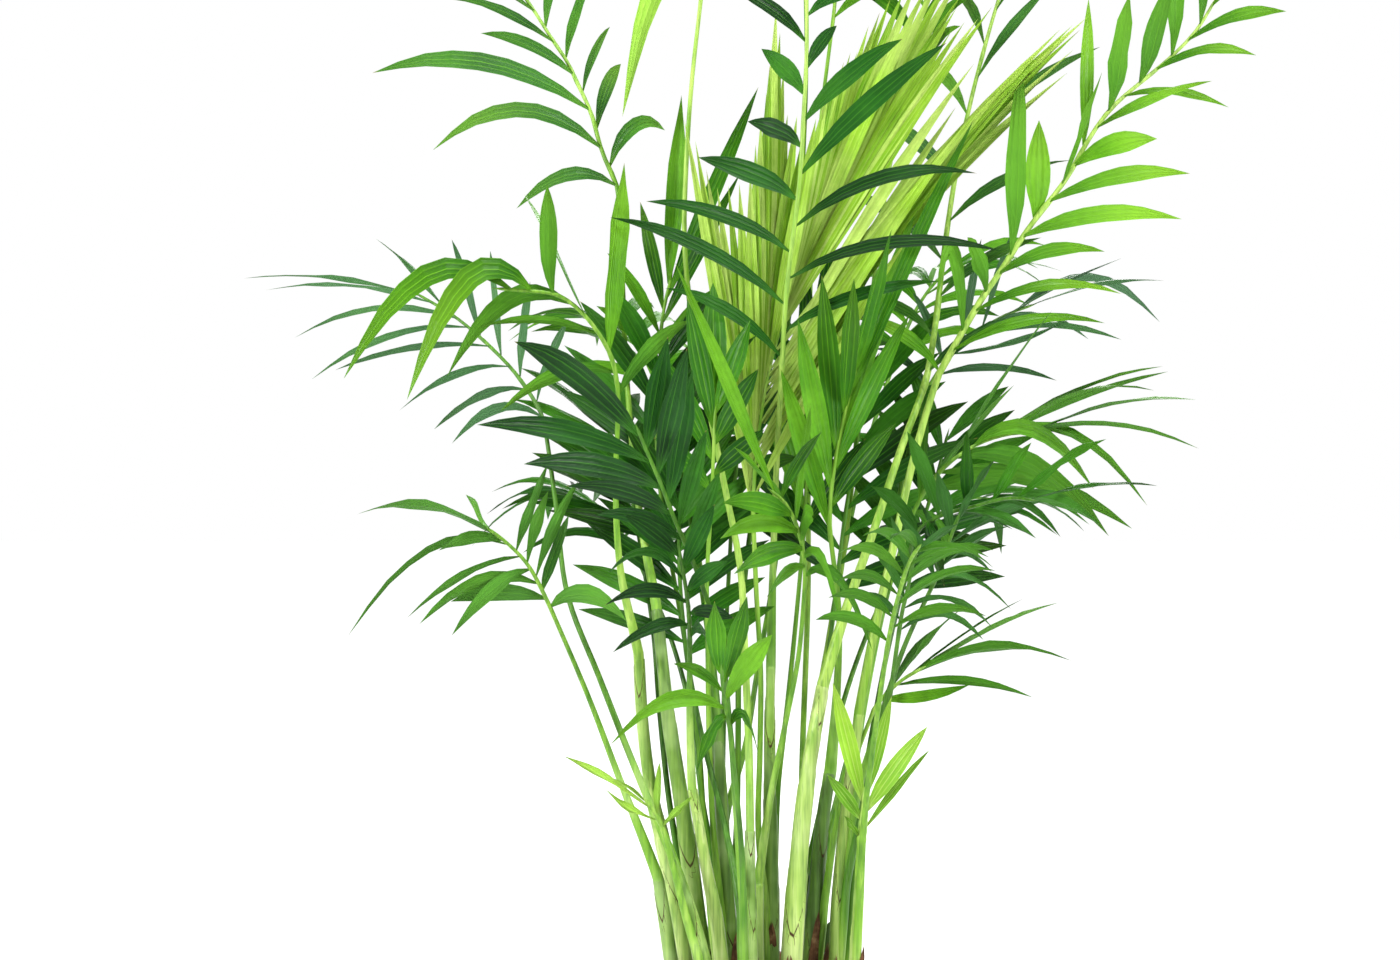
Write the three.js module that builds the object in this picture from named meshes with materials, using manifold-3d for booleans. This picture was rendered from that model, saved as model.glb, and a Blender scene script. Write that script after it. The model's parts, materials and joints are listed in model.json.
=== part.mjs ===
// A parlour palm growing as a clump of canes in a plain round pot.
// Millimetres, +Z up, +X to the right, +Y to the back.
// The origin is the middle of the pot's underside.

import * as THREE from 'three';
import { mergeVertices } from 'three/addons/utils/BufferGeometryUtils.js';
import Module from 'manifold-3d';

const wasm = await Module();
wasm.setup();

// ---------------------------------------------------------------- sizes

const potHeight = 160;
const potRimRadius = 95;        // inside of the rim
const potFootRadius = 68;       // outside of the foot
const potWall = 2.2;
const lipHeight = 22;
const lipStep = 4;              // how far the lip stands out from the wall
const footHeight = 3;           // the raised ring in the underside
const centreDiscRadius = 20;
const drainHoleRadius = 5;
const drainHoleCount = 6;
const potSides = 40;

const soilBelowRim = 15;        // watering space
const soilDome = 4;             // the middle stands this much over the edge
const soilSides = 28;
const fit = 0.4;                // gap where one piece lies against another

const caneSides = 6;
const caneStep = 45;            // between the rings of a cane
const pointedEnd = 5;           // length of the pointed root end of a cane
const caneTipLength = 1.5;      // the blunt cone that ends a cane
const stalkStep = 62;           // between the rings of a bare leaf stalk
const stalkRadius = 2.4;        // at the foot of a leaf stalk
const stalkTipRadius = 1.1;
const keelDepth = 1.3;          // a leaflet's thickness at its middle
const leafletGap = 0.6;         // least distance between two leaflets
const hangClearance = 3;        // a hanging leaflet starts this far out from its stalk

// The canes and leaves are laid out as they appear from a point in front of
// the plant, and each point is then put back along that line of sight to its
// own depth. The layout is drawn for this pot.
const eye = { x: -54, z: 523, distance: 1400 };
const layoutSoilHeight = 145;
const layoutSoilRadius = 92.8;

const colours = {
  pot: 0x7b3d2a,
  soil: 0x33241a,
  cane: 0x86ad4e,
  caneDark: 0x5d7d38,
  dark: 0x1f5a24,
  mid: 0x35822a,
  young: 0x8fc22e,
};

// ---------------------------------------------------------------- derived

const soilTop = potHeight - soilBelowRim;
const wallSlope = (potRimRadius + potWall - potFootRadius) / potHeight;
const innerRadius = (z) => potFootRadius - potWall + wallSlope * z;
const soilRadius = innerRadius(soilTop) - fit;
const spread = soilRadius / layoutSoilRadius;

function at(x, z, y) {
  const k = (eye.distance + y) / eye.distance;
  const px = eye.x + (x - eye.x) * k;
  const pz = eye.z + (z - eye.z) * k;
  return new THREE.Vector3(px * spread, y * spread, pz - layoutSoilHeight + soilTop);
}

// ---------------------------------------------------------------- solids

function toSolid(geometry) {
  const bare = geometry.clone();
  bare.deleteAttribute('normal');
  bare.deleteAttribute('uv');
  const merged = mergeVertices(bare, 1e-4);
  const index = merged.index.array;
  const triangles = [];
  for (let i = 0; i < index.length; i += 3) {
    const [a, b, c] = [index[i], index[i + 1], index[i + 2]];
    if (a !== b && b !== c && c !== a) triangles.push(a, b, c);
  }
  return new wasm.Manifold(new wasm.Mesh({
    numProp: 3,
    vertProperties: Float32Array.from(merged.attributes.position.array),
    triVerts: Uint32Array.from(triangles),
  }));
}

function toGeometry(solid) {
  const mesh = solid.getMesh();
  const geometry = new THREE.BufferGeometry();
  geometry.setAttribute('position', new THREE.BufferAttribute(mesh.vertProperties, 3));
  geometry.setIndex(new THREE.BufferAttribute(mesh.triVerts, 1));
  return geometry;
}

function fromLists(points, triangles) {
  const geometry = new THREE.BufferGeometry();
  geometry.setAttribute('position', new THREE.Float32BufferAttribute(points.flatMap((p) => p.toArray()), 3));
  geometry.setIndex(triangles);
  return geometry;
}

function lathe(profile, sides) {
  const geometry = new THREE.LatheGeometry(profile.map(([r, z]) => new THREE.Vector2(r, z)), sides);
  return geometry.rotateX(Math.PI / 2);
}

// ---------------------------------------------------------------- tubes

// Rings round a curve, with a point at each end. The up direction is carried
// along the curve without twisting, from the place where it is given.
function frames(curve, lengths, up, givenAt) {
  const total = curve.getLength();
  const list = lengths.map((s) => {
    const u = Math.min(Math.max(s / total, 0), 1);
    return { point: curve.getPointAt(u), tangent: curve.getTangentAt(u).normalize() };
  });
  const carry = (from, to) => {
    const turn = new THREE.Quaternion().setFromUnitVectors(from.tangent, to.tangent);
    to.up = from.up.clone().applyQuaternion(turn);
  };
  const start = list[givenAt];
  start.up = up.clone().addScaledVector(start.tangent, -up.dot(start.tangent)).normalize();
  for (let i = givenAt + 1; i < list.length; i++) carry(list[i - 1], list[i]);
  for (let i = givenAt - 1; i >= 0; i--) carry(list[i + 1], list[i]);
  for (const f of list) f.side = new THREE.Vector3().crossVectors(f.up, f.tangent);
  return list;
}

function ringPoints(frame, radius, sides) {
  const points = [];
  for (let k = 0; k < sides; k++) {
    const angle = ((k + 0.5) / sides) * 2 * Math.PI;
    const point = frame.point.clone();
    point.addScaledVector(frame.side, radius * Math.cos(angle));
    point.addScaledVector(frame.up, radius * Math.sin(angle));
    points.push(point);
  }
  return points;
}

function tubeMesh(list, radii, sides, nose, tail) {
  const points = list.flatMap((frame, i) => ringPoints(frame, radii[i], sides));
  const last = list.length - 1;
  const foot = points.push(list[0].point.clone().addScaledVector(list[0].tangent, -nose)) - 1;
  const tip = points.push(list[last].point.clone().addScaledVector(list[last].tangent, tail)) - 1;
  const walls = [];
  for (let i = 0; i < last; i++) {
    for (let k = 0; k < sides; k++) {
      const next = (k + 1) % sides;
      const [p, q] = [i * sides + k, i * sides + next];
      const [r, s] = [p + sides, q + sides];
      walls.push({ ring: i, face: k, corners: [p, q, s, r] });
    }
  }
  const caps = [];
  for (let k = 0; k < sides; k++) {
    const next = (k + 1) % sides;
    caps.push(foot, next, k);
    caps.push(tip, last * sides + k, last * sides + next);
  }
  return { points, walls, caps };
}

function plainTriangles(mesh) {
  const triangles = [...mesh.caps];
  for (const { corners: [p, q, s, r] } of mesh.walls) triangles.push(p, q, s, p, s, r);
  return triangles;
}

const throughPoints = (points) => new THREE.CatmullRomCurve3(points, false, 'centripetal');

function evenly(from, to, step) {
  const count = Math.max(2, Math.round((to - from) / step) + 1);
  return Array.from({ length: count }, (_, i) => from + ((to - from) * i) / (count - 1));
}

// ---------------------------------------------------------------- pot, soil

function potProfile() {
  const bottom = footHeight + potWall;
  const lipStart = potHeight - lipHeight;
  const outer = (z) => innerRadius(z) + potWall;
  return [
    [0, 0],
    [centreDiscRadius, 0],
    [centreDiscRadius + footHeight, footHeight],
    [potFootRadius - 9, footHeight],
    [potFootRadius - 6, 0],
    [potFootRadius - 1.5, 0],
    [potFootRadius, 1.5],
    [outer(lipStart), lipStart],
    [outer(lipStart) + lipStep, lipStart + 2],
    [outer(potHeight - 4) + lipStep, potHeight - 4],
    [outer(potHeight) + lipStep - 1.5, potHeight - 1],
    [outer(potHeight), potHeight],
    [innerRadius(potHeight) + 0.8, potHeight - 0.6],
    [innerRadius(potHeight - 2), potHeight - 2],
    [innerRadius(lipStart), lipStart],
    [innerRadius(bottom + 4), bottom + 4],
    [innerRadius(bottom) - 4, bottom],
    [0, bottom],
  ];
}

function makePot() {
  let solid = toSolid(lathe(potProfile(), potSides));
  const holeCircle = (centreDiscRadius + potFootRadius - 6) / 2;
  for (let i = 0; i < drainHoleCount; i++) {
    const angle = (i / drainHoleCount) * 2 * Math.PI;
    const hole = new THREE.CylinderGeometry(drainHoleRadius, drainHoleRadius, 4 * footHeight, 12);
    hole.rotateX(Math.PI / 2);
    hole.translate(holeCircle * Math.cos(angle), holeCircle * Math.sin(angle), footHeight);
    solid = solid.subtract(toSolid(hole));
  }
  return toGeometry(solid);
}

function makeSoil(caneMeshes) {
  const bottom = footHeight + potWall + fit;
  const top = soilTop - soilDome;
  const profile = [
    [0, bottom],
    [innerRadius(bottom) - 4 - fit, bottom],
    [innerRadius(bottom + 4) - fit, bottom + 4],
    [innerRadius(top) - fit, top],
    [soilRadius * 0.6, soilTop - soilDome * 0.35],
    [0, soilTop],
  ];
  let solid = toSolid(lathe(profile, soilSides));
  for (const hole of caneMeshes) solid = solid.subtract(hole);
  return toGeometry(solid);
}

// ---------------------------------------------------------------- canes

// Each cane: foot and top radius, then its route from the root end upward as
// [x, z, y].
const canes = [
  { radii: [5.4, 4.0], route: [[-68, 118, -26], [-74, 165, -28], [-80, 205, -30], [-85, 235, -32]] },
  { radii: [5.0, 3.8], route: [[-58, 118, 14], [-64, 180, 14], [-76, 240, 12], [-90, 300, 10],
    [-96, 345, 8], [-99, 395, 6]] },
  { radii: [5.2, 3.8], route: [[-46, 118, -8], [-52, 180, -8], [-58, 215, -8], [-66, 280, -6],
    [-73, 320, -4], [-80, 375, -2], [-86, 430, 0]] },
  { radii: [4.6, 3.4], route: [[-44, 118, -44], [-50, 175, -44], [-62, 215, -42], [-74, 250, -40]] },
  { radii: [4.4, 3.2], route: [[-36, 118, -24], [-39, 178, -24], [-44, 215, -24], [-51, 250, -24],
    [-60, 300, -22]] },
  { radii: [5.6, 4.2], route: [[-30, 118, 8], [-32, 180, 8], [-36, 240, 6], [-39, 290, 4], [-41, 335, 2]] },
  { radii: [4.2, 3.2], route: [[-22, 118, -52], [-22, 178, -52], [-23, 215, -52]] },
  { radii: [3.7, 3.0], route: [[-16, 118, -30], [-17, 178, -30], [-18, 225, -30], [-18, 270, -28]] },
  { radii: [4.6, 3.6], route: [[-11, 118, -12], [-12, 178, -12], [-13, 215, -12], [-12, 232, -12]] },
  { radii: [4.8, 3.6], route: [[-4, 118, 18], [-3, 180, 18], [-3, 260, 16], [-4, 320, 16], [-3, 390, 16]] },
  { radii: [6.2, 4.4], route: [[10, 118, -36], [12, 180, -36], [15, 220, -36], [19, 270, -34],
    [26, 325, -32], [35, 375, -28]] },
  { radii: [6.2, 4.6], route: [[24, 118, 6], [27, 180, 6], [30, 230, 6], [35, 280, 8], [40, 312, 10]] },
  { radii: [4.8, 3.6], route: [[44, 118, -20], [45, 180, -20], [46, 215, -20], [50, 260, -20],
    [55, 310, -18], [61, 355, -16]] },
  { radii: [5.2, 4.0], route: [[46, 118, 30], [49, 190, 30], [53, 240, 30], [54, 270, 30]] },
  { radii: [4.2, 3.2], route: [[58, 118, -42], [58, 180, -42], [60, 220, -42], [62, 248, -42]] },
  { radii: [3.8, 2.6], route: [[36, 118, -4], [37, 170, -4], [40, 203, -4]] },
  { radii: [5.0, 3.6], route: [[-31, 118, 44], [-33, 180, 46], [-37, 240, 50], [-40, 290, 54],
    [-43, 340, 60]] },
  { radii: [5.0, 3.6], route: [[12, 118, 46], [13, 180, 48], [17, 240, 50], [22, 290, 54], [30, 340, 60]] },
];

const toTheBack = new THREE.Vector3(0, 1, 0);

function caneTube(cane, extra) {
  const length = cane.curve.getLength();
  const stations = evenly(0, length, caneStep);
  const radii = stations.map((s) => extra + THREE.MathUtils.lerp(...cane.radii, s / length));
  const list = frames(cane.curve, stations, toTheBack, 0);
  const mesh = tubeMesh(list, radii, caneSides, pointedEnd + extra, caneTipLength);
  return fromLists(mesh.points, plainTriangles(mesh));
}

// The place on a cane at a given height of the layout.
function onCane(cane, height) {
  const wanted = height - layoutSoilHeight + soilTop;
  let best = { u: 1 };
  const steps = 200;
  for (let i = 0; i <= steps; i++) {
    const point = cane.curve.getPointAt(i / steps);
    const off = Math.abs(point.z - wanted);
    if (best.off === undefined || off < best.off) best = { u: i / steps, off, point };
  }
  return { point: best.point, radius: THREE.MathUtils.lerp(...cane.radii, best.u) };
}

// ---------------------------------------------------------------- leaves

// Every leaf: the cane it grows from (with the height where it leaves the
// cane's side, or none where it goes on from the cane's end), the route of
// its bare stalk and of the leafy part as [x, z, y], and its leaflets from
// the lowest up as [x, z, y, width, lift]. The point is the leaflet's tip,
// and lift is how far its middle bows above the straight line to it. 'up' is
// where the leaf's upper side looks. A leaf with 'pairs' has regular
// leaflets, which are worked out from a length, a width and a droop.
const leaves = [
  { name: 'leaf_centre', tone: 'dark', cane: 10, up: [0, -1, 0.1], stalk: [[-2, 430, 16], [-1, 480, 10],
      [1, 530, 0], [3, 572, -10]],
    rachis: [[5, 606, -18], [9, 665, -24], [14, 705, -28], [18, 740, -32], [21, 790, -34], [23, 830, -34],
      [23, 868, -34], [21, 905, -30], [17, 942, -24]],
    leaflets: [[-80, 664, -34, 9, 8], [120, 670, -34, 9, 6], [-120, 717, -38, 10, 8], [165, 690, -34, 9, 14],
      [-94, 728, -40, 10, 6], [147, 747, -40, 10, 14], [-56, 757, -40, 14, 3], [125, 842, -40, 14, 4],
      [-20, 783, -42, 13, 2], [93, 845, -44, 13, 3], [-10, 834, -40, 14, 2], [45, 852, -40, 10, 2],
      [-36, 882, -40, 10, 4], [74, 880, -40, 10, 4], [-26, 914, -40, 10, 3], [82, 925, -40, 10, 4],
      [-18, 960, -36, 9, 3], [60, 968, -36, 9, 3]] },
  { name: 'leaf_right', tone: 'mid', cane: 13, thick: 3.3, stalk: [[68, 395, -14], [77, 435, -12],
      [87, 478, -8], [96, 520, -4], [107, 560, 0]],
    rachis: [[118, 596, 4], [128, 615, 7], [140, 636, 11], [152, 656, 15], [166, 676, 20], [180, 698, 25],
      [195, 718, 30], [212, 740, 36], [228, 768, 42], [244, 790, 48], [262, 806, 54], [284, 824, 60],
      [306, 846, 66], [322, 872, 72]],
    leaflets: [[60, 640, -6, 10, 8], [240, 640, 6, 8, 10], [118, 655, -20, 15, 46], [252, 662, 14, 8, 10],
      [140, 700, -16, 15, 4], [240, 688, 10, 11, 8], [179, 826, 14, 18, 0], [296, 714, 10, 14, 8],
      [192, 784, 34, 18, -2], [302, 748, 16, 13, 6], [238, 818, 26, 12, 0], [278, 770, 26, 17, 4],
      [228, 872, 46, 10, 2], [318, 812, 32, 9, 4], [258, 876, 40, 19, 0], [330, 792, 40, 7, 6],
      [288, 884, 46, 17, 2], [350, 830, 44, 10, 8], [292, 930, 56, 14, 2], [372, 862, 54, 12, 6],
      [318, 946, 64, 12, 2], [366, 905, 64, 12, 4]] },
  { name: 'leaf_left_broad', tone: 'mid', cane: 2, stalk: [[-106, 425, -2], [-114, 470, -10],
      [-116, 520, -18]],
    rachis: [[-114, 580, -26], [-118, 608, -32], [-126, 625, -38], [-143, 646, -46], [-160, 657, -52],
      [-180, 659, -58], [-203, 661, -64]],
    leaflets: [[-62, 640, -10, 12, 6], [-200, 575, -40, 10, 10], [-110, 757, -34, 24, 4],
      [-213, 636, -66, 6, 6], [-183, 733, -54, 26, 4], [-240, 600, -74, 13, 26], [-165, 738, -74, 12, 4],
      [-268, 584, -94, 16, 44], [-316, 600, -104, 15, 38]] },
  { name: 'leaf_top_left', tone: 'mid', cane: 3, stalk: [[-94, 470, 10], [-102, 530, 24], [-108, 600, 36],
      [-111, 670, 46]],
    rachis: [[-114, 730, 52], [-126, 760, 56], [-134, 788, 61], [-143, 807, 66], [-151, 824, 72],
      [-162, 840, 78], [-176, 862, 86], [-194, 886, 96], [-214, 906, 106]],
    leaflets: [[-188, 720, 40, 10, 14], [-80, 777, 44, 11, 16], [-249, 765, 36, 13, 26],
      [-112, 824, 76, 10, 8], [-293, 819, 56, 14, 20], [-120, 850, 92, 6, 6], [-214, 846, 60, 11, 6],
      [-132, 890, 96, 8, 6], [-262, 874, 70, 9, 10], [-152, 926, 104, 10, 6], [-292, 902, 84, 10, 12],
      [-182, 950, 108, 9, 6], [-300, 934, 100, 9, 10], [-238, 968, 114, 9, 4], [-288, 958, 112, 10, 4]] },
  { name: 'leaf_front_left', tone: 'dark', cane: 7, up: [-0.3, -0.8, 0.5], stalk: [[-27, 270, -54],
      [-31, 320, -58], [-37, 390, -60], [-48, 435, -64]],
    rachis: [[-61, 468, -70], [-72, 492, -80], [-83, 520, -92], [-93, 543, -102], [-101, 562, -110]],
    leaflets: [[-40, 530, -90, 11, 2], [-130, 500, -104, 11, 6], [-50, 560, -100, 12, 2],
      [-152, 520, -112, 13, 6], [-60, 605, -106, 16, 2], [-183, 538, -120, 16, 6],
      [-64, 622, -108, 16, 2], [-217, 564, -124, 15, 8], [-78, 628, -112, 18, 2],
      [-190, 628, -124, 20, 8]] },
  { name: 'leaf_young_fan', tone: 'young', cane: 10, leaves: 214, up: [0, -1, 0.2], stalk: [[-13, 290, 2],
      [-10, 345, -2], [-11, 400, -8], [-14, 450, -10]],
    rachis: [[-16, 500, -8], [-15, 530, -4], [-11, 566, 2], [-4, 604, 10], [6, 640, 18], [18, 676, 26]],
    leaflets: [[-66, 792, 4, 8, 2], [96, 700, -8, 9, 6], [-42, 736, 8, 9, 0], [122, 760, -8, 9, 6],
      [-18, 752, 8, 10, 0], [150, 800, -8, 10, 8], [-6, 812, 12, 10, 0], [196, 838, 0, 10, 10],
      [2, 876, 14, 12, 0], [218, 832, 8, 10, 10], [10, 800, 22, 11, 0], [206, 852, 14, 10, 8],
      [30, 786, 2, 11, 0], [225, 866, 20, 12, 6], [45, 826, 20, 10, 0], [158, 874, 10, 10, 2],
      [60, 840, 34, 10, 0], [128, 852, 24, 10, 2], [86, 884, 26, 11, 0], [112, 890, 40, 11, 2],
      [140, 900, 52, 10, 2]] },
  { name: 'leaf_tall_left', tone: 'young', cane: 8, thick: 2.8, stalk: [[-19, 330, -24], [-22, 400, -20],
      [-24, 450, -14], [-31, 490, -8], [-41, 540, -2], [-53, 600, 4], [-63, 655, 10], [-66, 705, 14],
      [-64, 760, 18], [-60, 815, 22]],
    rachis: [[-54, 868, 26], [-51, 905, 26], [-50, 945, 24], [-51, 985, 20], [-54, 1018, 14]],
    leaflets: [[-111, 786, 10, 17, 56], [24, 890, 40, 10, 22], [-124, 884, 40, 12, 40], [28, 915, 40, 11, 20],
      [-134, 915, 40, 12, 30], [30, 946, 30, 12, 18], [-138, 955, 40, 11, 20], [20, 990, 30, 11, 14],
      [-122, 1000, 30, 10, 10], [-8, 1032, 20, 10, 6], [-96, 1042, 20, 10, 4], [-58, 1072, 10, 10, 0]] },
  { name: 'leaf_centre_blades', tone: 'mid', cane: 12, up: [0, -1, 0.2], stalk: [[43, 350, 4], [47, 400, -6],
      [45, 450, -14]],
    rachis: [[40, 486, -20], [41, 516, -22], [46, 548, -22], [54, 584, -20], [60, 606, -18]],
    leaflets: [[4, 606, -26, 14, 0], [88, 566, -30, 13, 2], [16, 640, -28, 15, 0], [98, 648, -26, 13, 2],
      [34, 676, -30, 15, 0], [106, 722, -24, 13, 2], [56, 668, -32, 15, 0], [145, 792, -18, 10, 2],
      [82, 698, -24, 18, 0]] },
  { name: 'leaf_centre_deep', tone: 'mid', cane: 10, leaves: 240, up: [0, -1, 0.2], stalk: [[2, 300, 30],
      [10, 370, 34], [16, 430, 36]],
    rachis: [[20, 474, 36], [22, 504, 36], [24, 536, 36], [28, 570, 36]],
    leaflets: [[-24, 560, 26, 13, 0], [66, 556, 26, 13, 0], [-14, 610, 30, 14, 0], [76, 620, 30, 14, 0],
      [-2, 660, 34, 14, 0], [66, 680, 36, 15, 0], [22, 690, 40, 14, 0], [46, 720, 44, 13, 0]] },
  { name: 'leaf_upright_left', tone: 'mid', cane: 6, up: [0, -1, 0.2], stalk: [[-45, 385, 8], [-54, 450, 18],
      [-66, 520, 26], [-77, 575, 32]],
    rachis: [[-83, 606, 36], [-83, 628, 38], [-80, 650, 40], [-75, 670, 42]],
    leaflets: [[-130, 650, 30, 10, 4], [-32, 668, 30, 12, 2], [-122, 690, 34, 9, 4], [-25, 746, 36, 10, 0],
      [-98, 726, 42, 10, 0], [-12, 808, 44, 12, 0], [-68, 803, 30, 14, 0]] },
  { name: 'leaf_left_low', tone: 'mid', cane: 1, stalk: [[-97, 268, -36], [-118, 320, -42], [-135, 365, -50],
      [-150, 400, -60]],
    rachis: [[-163, 430, -70], [-180, 462, -84], [-198, 480, -98], [-209, 488, -108]],
    leaflets: [[-108, 424, -92, 14, 12], [-236, 438, -90, 12, 4], [-150, 500, -60, 9, 0],
      [-259, 420, -112, 9, 14], [-143, 526, -74, 8, 4], [-234, 413, -100, 10, 6], [-165, 517, -90, 8, 3],
      [-268, 428, -120, 5, 6], [-165, 537, -104, 7, 0], [-311, 412, -140, 5, 26], [-245, 474, -126, 9, 4],
      [-312, 493, -140, 13, 12], [-224, 514, -120, 18, 0]] },
  { name: 'leaf_far_left', tone: 'dark', cane: 4, stalk: [[-88, 276, -38], [-100, 310, -38], [-112, 345, -38],
      [-125, 375, -34], [-140, 405, -26], [-153, 450, -10], [-160, 510, 8]],
    rachis: [[-168, 565, 26], [-185, 595, 44], [-205, 617, 62], [-232, 640, 82], [-262, 658, 102]],
    leaflets: [[-235, 550, 14, 8, 14], [-150, 640, 40, 7, 4], [-248, 560, 44, 7, 8], [-178, 668, 70, 7, 4],
      [-273, 575, 58, 6, 8], [-207, 690, 92, 6, 4], [-320, 605, 74, 6, 6], [-235, 700, 108, 6, 4],
      [-337, 601, 96, 6, 10], [-349, 627, 114, 6, 14], [-290, 700, 130, 5, 3], [-370, 661, 134, 6, 8],
      [-388, 672, 146, 6, 6]] },
  { name: 'leaf_right_inner', tone: 'mid', cane: 11, thick: 3.2, stalk: [[45, 415, -24], [60, 450, -20],
      [73, 490, -14], [86, 530, -6], [98, 562, 6]],
    rachis: [[109, 592, 20], [116, 630, 38], [122, 680, 58], [130, 735, 80], [141, 790, 102], [154, 840, 122],
      [168, 885, 140], [184, 922, 156]],
    pairs: 6, length: [90, 130, 90], width: 11, droop: 0.10, open: [62, 28] },
  { name: 'leaf_right_fine', tone: 'dark', cane: 12, leaves: 250, stalk: [[44, 290, 26], [58, 340, 32],
      [72, 400, 40], [84, 470, 46], [96, 540, 50]],
    rachis: [[110, 586, 56], [124, 608, 64], [142, 625, 74], [164, 640, 86], [190, 650, 98]],
    leaflets: [[72, 620, 50, 7, 6], [205, 598, 50, 6, 6], [100, 660, 70, 7, 4], [214, 641, 60, 6, -6],
      [150, 700, 90, 6, 4], [252, 628, 80, 6, 8], [172, 702, 100, 5, 4], [228, 627, 92, 5, 10],
      [252, 684, 110, 5, 2], [292, 634, 96, 9, 30], [283, 668, 112, 7, 6]] },
  { name: 'leaf_right_spray', tone: 'mid', cane: 14, stalk: [[58, 320, 32], [66, 370, 36], [76, 420, 38],
      [88, 465, 34]],
    rachis: [[100, 498, 28], [114, 522, 20], [130, 538, 10], [150, 550, -2], [170, 556, -14],
      [190, 557, -26]],
    leaflets: [[130, 470, 26, 12, 4], [110, 600, 36, 14, 2], [185, 528, -4, 12, 2], [174, 594, 12, 17, 2],
      [264, 490, -20, 14, 14], [192, 638, 20, 12, 2], [243, 484, -36, 15, 22], [286, 606, -4, 12, 4],
      [230, 518, -48, 11, 26], [278, 607, 10, 9, 8], [271, 506, -60, 7, 26], [276, 590, -8, 7, 14],
      [294, 541, -50, 11, 10], [292, 573, -30, 10, 8]] },
  { name: 'leaf_right_under', tone: 'dark', cane: 14, leaves: 235, stalk: [[64, 300, 16], [74, 360, 0],
      [86, 420, -16], [94, 458, -32]],
    rachis: [[102, 484, -48], [120, 497, -66], [145, 504, -88], [170, 510, -110], [190, 508, -132]],
    leaflets: [[70, 520, -52, 12, 4], [122, 448, -72, 12, 4], [96, 560, -60, 12, 2], [190, 482, -100, 9, 6],
      [140, 562, -80, 12, 2], [208, 484, -120, 8, 12], [185, 552, -100, 10, 2], [238, 492, -142, 14, 8],
      [232, 548, -124, 9, 4], [274, 522, -146, 6, 4]] },
  { name: 'leaf_right_slim', tone: 'dark', cane: 13, leaves: 300, stalk: [[70, 330, -28], [84, 375, -34],
      [97, 410, -42], [108, 432, -52]],
    rachis: [[116, 450, -62], [122, 466, -72], [128, 482, -82], [134, 498, -92]],
    leaflets: [[90, 500, -74, 9, 2], [170, 492, -82, 9, 4], [112, 500, -90, 11, 0], [208, 506, -98, 9, 6],
      [118, 530, -92, 10, 0], [160, 540, -100, 9, 2]] },
  { name: 'leaf_right_wiry', tone: 'dark', cane: 13, leaves: 240, stalk: [[62, 280, -36], [76, 330, -44],
      [85, 375, -54]],
    rachis: [[90, 412, -66], [93, 430, -76], [97, 446, -86], [100, 462, -96], [104, 474, -104]],
    leaflets: [[152, 408, -86, 6, 14], [60, 442, -80, 7, 4], [160, 418, -96, 5, 12], [74, 470, -92, 7, 4],
      [172, 432, -104, 6, 14], [84, 498, -104, 6, 2], [158, 458, -114, 6, 12], [134, 492, -116, 7, 2]] },
  { name: 'leaf_right_low', tone: 'mid', cane: 12, leaves: 222, stalk: [[48, 290, -6], [62, 342, -8]],
    rachis: [[72, 358, -12], [82, 370, -18], [94, 380, -26], [108, 388, -34]],
    leaflets: [[124, 424, -20, 11, 4], [142, 378, -60, 8, -4], [134, 434, -24, 9, 4], [188, 370, -74, 6, 6],
      [181, 442, -40, 4, 2], [216, 394, -70, 10, 14], [210, 438, -54, 12, 4]] },
  { name: 'leaf_hanging', tone: 'mid', cane: 9, up: [0, -0.6, 0.8], stalk: [[-4, 290, -20],
      [8, 350, -36], [20, 415, -54]],
    rachis: [[22, 452, -64], [20, 474, -76], [15, 492, -88], [6, 508, -98], [-4, 516, -106]],
    leaflets: [[71, 402, -90, 10, 22], [-6, 440, -94, 9, 6], [47, 424, -106, 10, 18], [-30, 456, -114, 15, 6],
      [28, 500, -122, 12, 8], [-40, 484, -128, 13, 8], [26, 580, -100, 10, 2], [-38, 508, -128, 14, 4],
      [-30, 548, -116, 12, 2], [34, 560, -124, 9, 4], [-72, 668, -122, 11, 0]] },
  { name: 'leaf_low_young', tone: 'young', cane: 15, up: [0, -1, 0.3], stalk: [[63, 258, -43]],
    rachis: [[63, 264, -44], [64, 274, -45], [65, 286, -46], [66, 300, -47]],
    leaflets: [[50, 282, -60, 5, 0], [113, 330, -44, 6, 2], [38, 312, -60, 9, 0], [111, 346, -54, 12, 2],
      [42, 380, -50, 12, 0], [84, 372, -52, 9, 0]] },
  { name: 'leaf_front_small', tone: 'mid', cane: 7, leaves: 200, up: [0, -0.8, 0.5], stalk: [[-24, 255, -66],
      [-29, 308, -74]],
    rachis: [[-33, 344, -84], [-36, 360, -92], [-38, 374, -100], [-39, 388, -108]],
    leaflets: [[-12, 326, -100, 9, 16], [-58, 312, -104, 12, 8], [-120, 336, -120, 13, 16],
      [-2, 414, -116, 15, 2], [-74, 392, -118, 8, 4], [-20, 440, -116, 18, 0], [-44, 436, -124, 15, 0]] },
  { name: 'leaf_left_under', tone: 'dark', cane: 5, up: [-0.2, -0.7, 0.6], stalk: [[-62, 330, -26],
      [-62, 375, -36]],
    rachis: [[-62, 408, -48], [-63, 430, -60], [-66, 452, -72], [-70, 474, -82]],
    leaflets: [[-46, 396, -96, 10, 12], [-118, 400, -80, 11, 6], [-30, 424, -84, 11, 2],
      [-124, 436, -100, 10, 8], [-34, 466, -96, 11, 2], [-122, 458, -118, 7, 16], [-44, 508, -106, 12, 0],
      [-110, 500, -112, 12, 2]] },
  { name: 'leaf_centre_broad', tone: 'mid', cane: 6, leaves: 212, up: [0, -1, 0.2],
      stalk: [[-47, 300, -8], [-48, 370, -10], [-50, 430, -16], [-48, 480, -20]],
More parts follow.
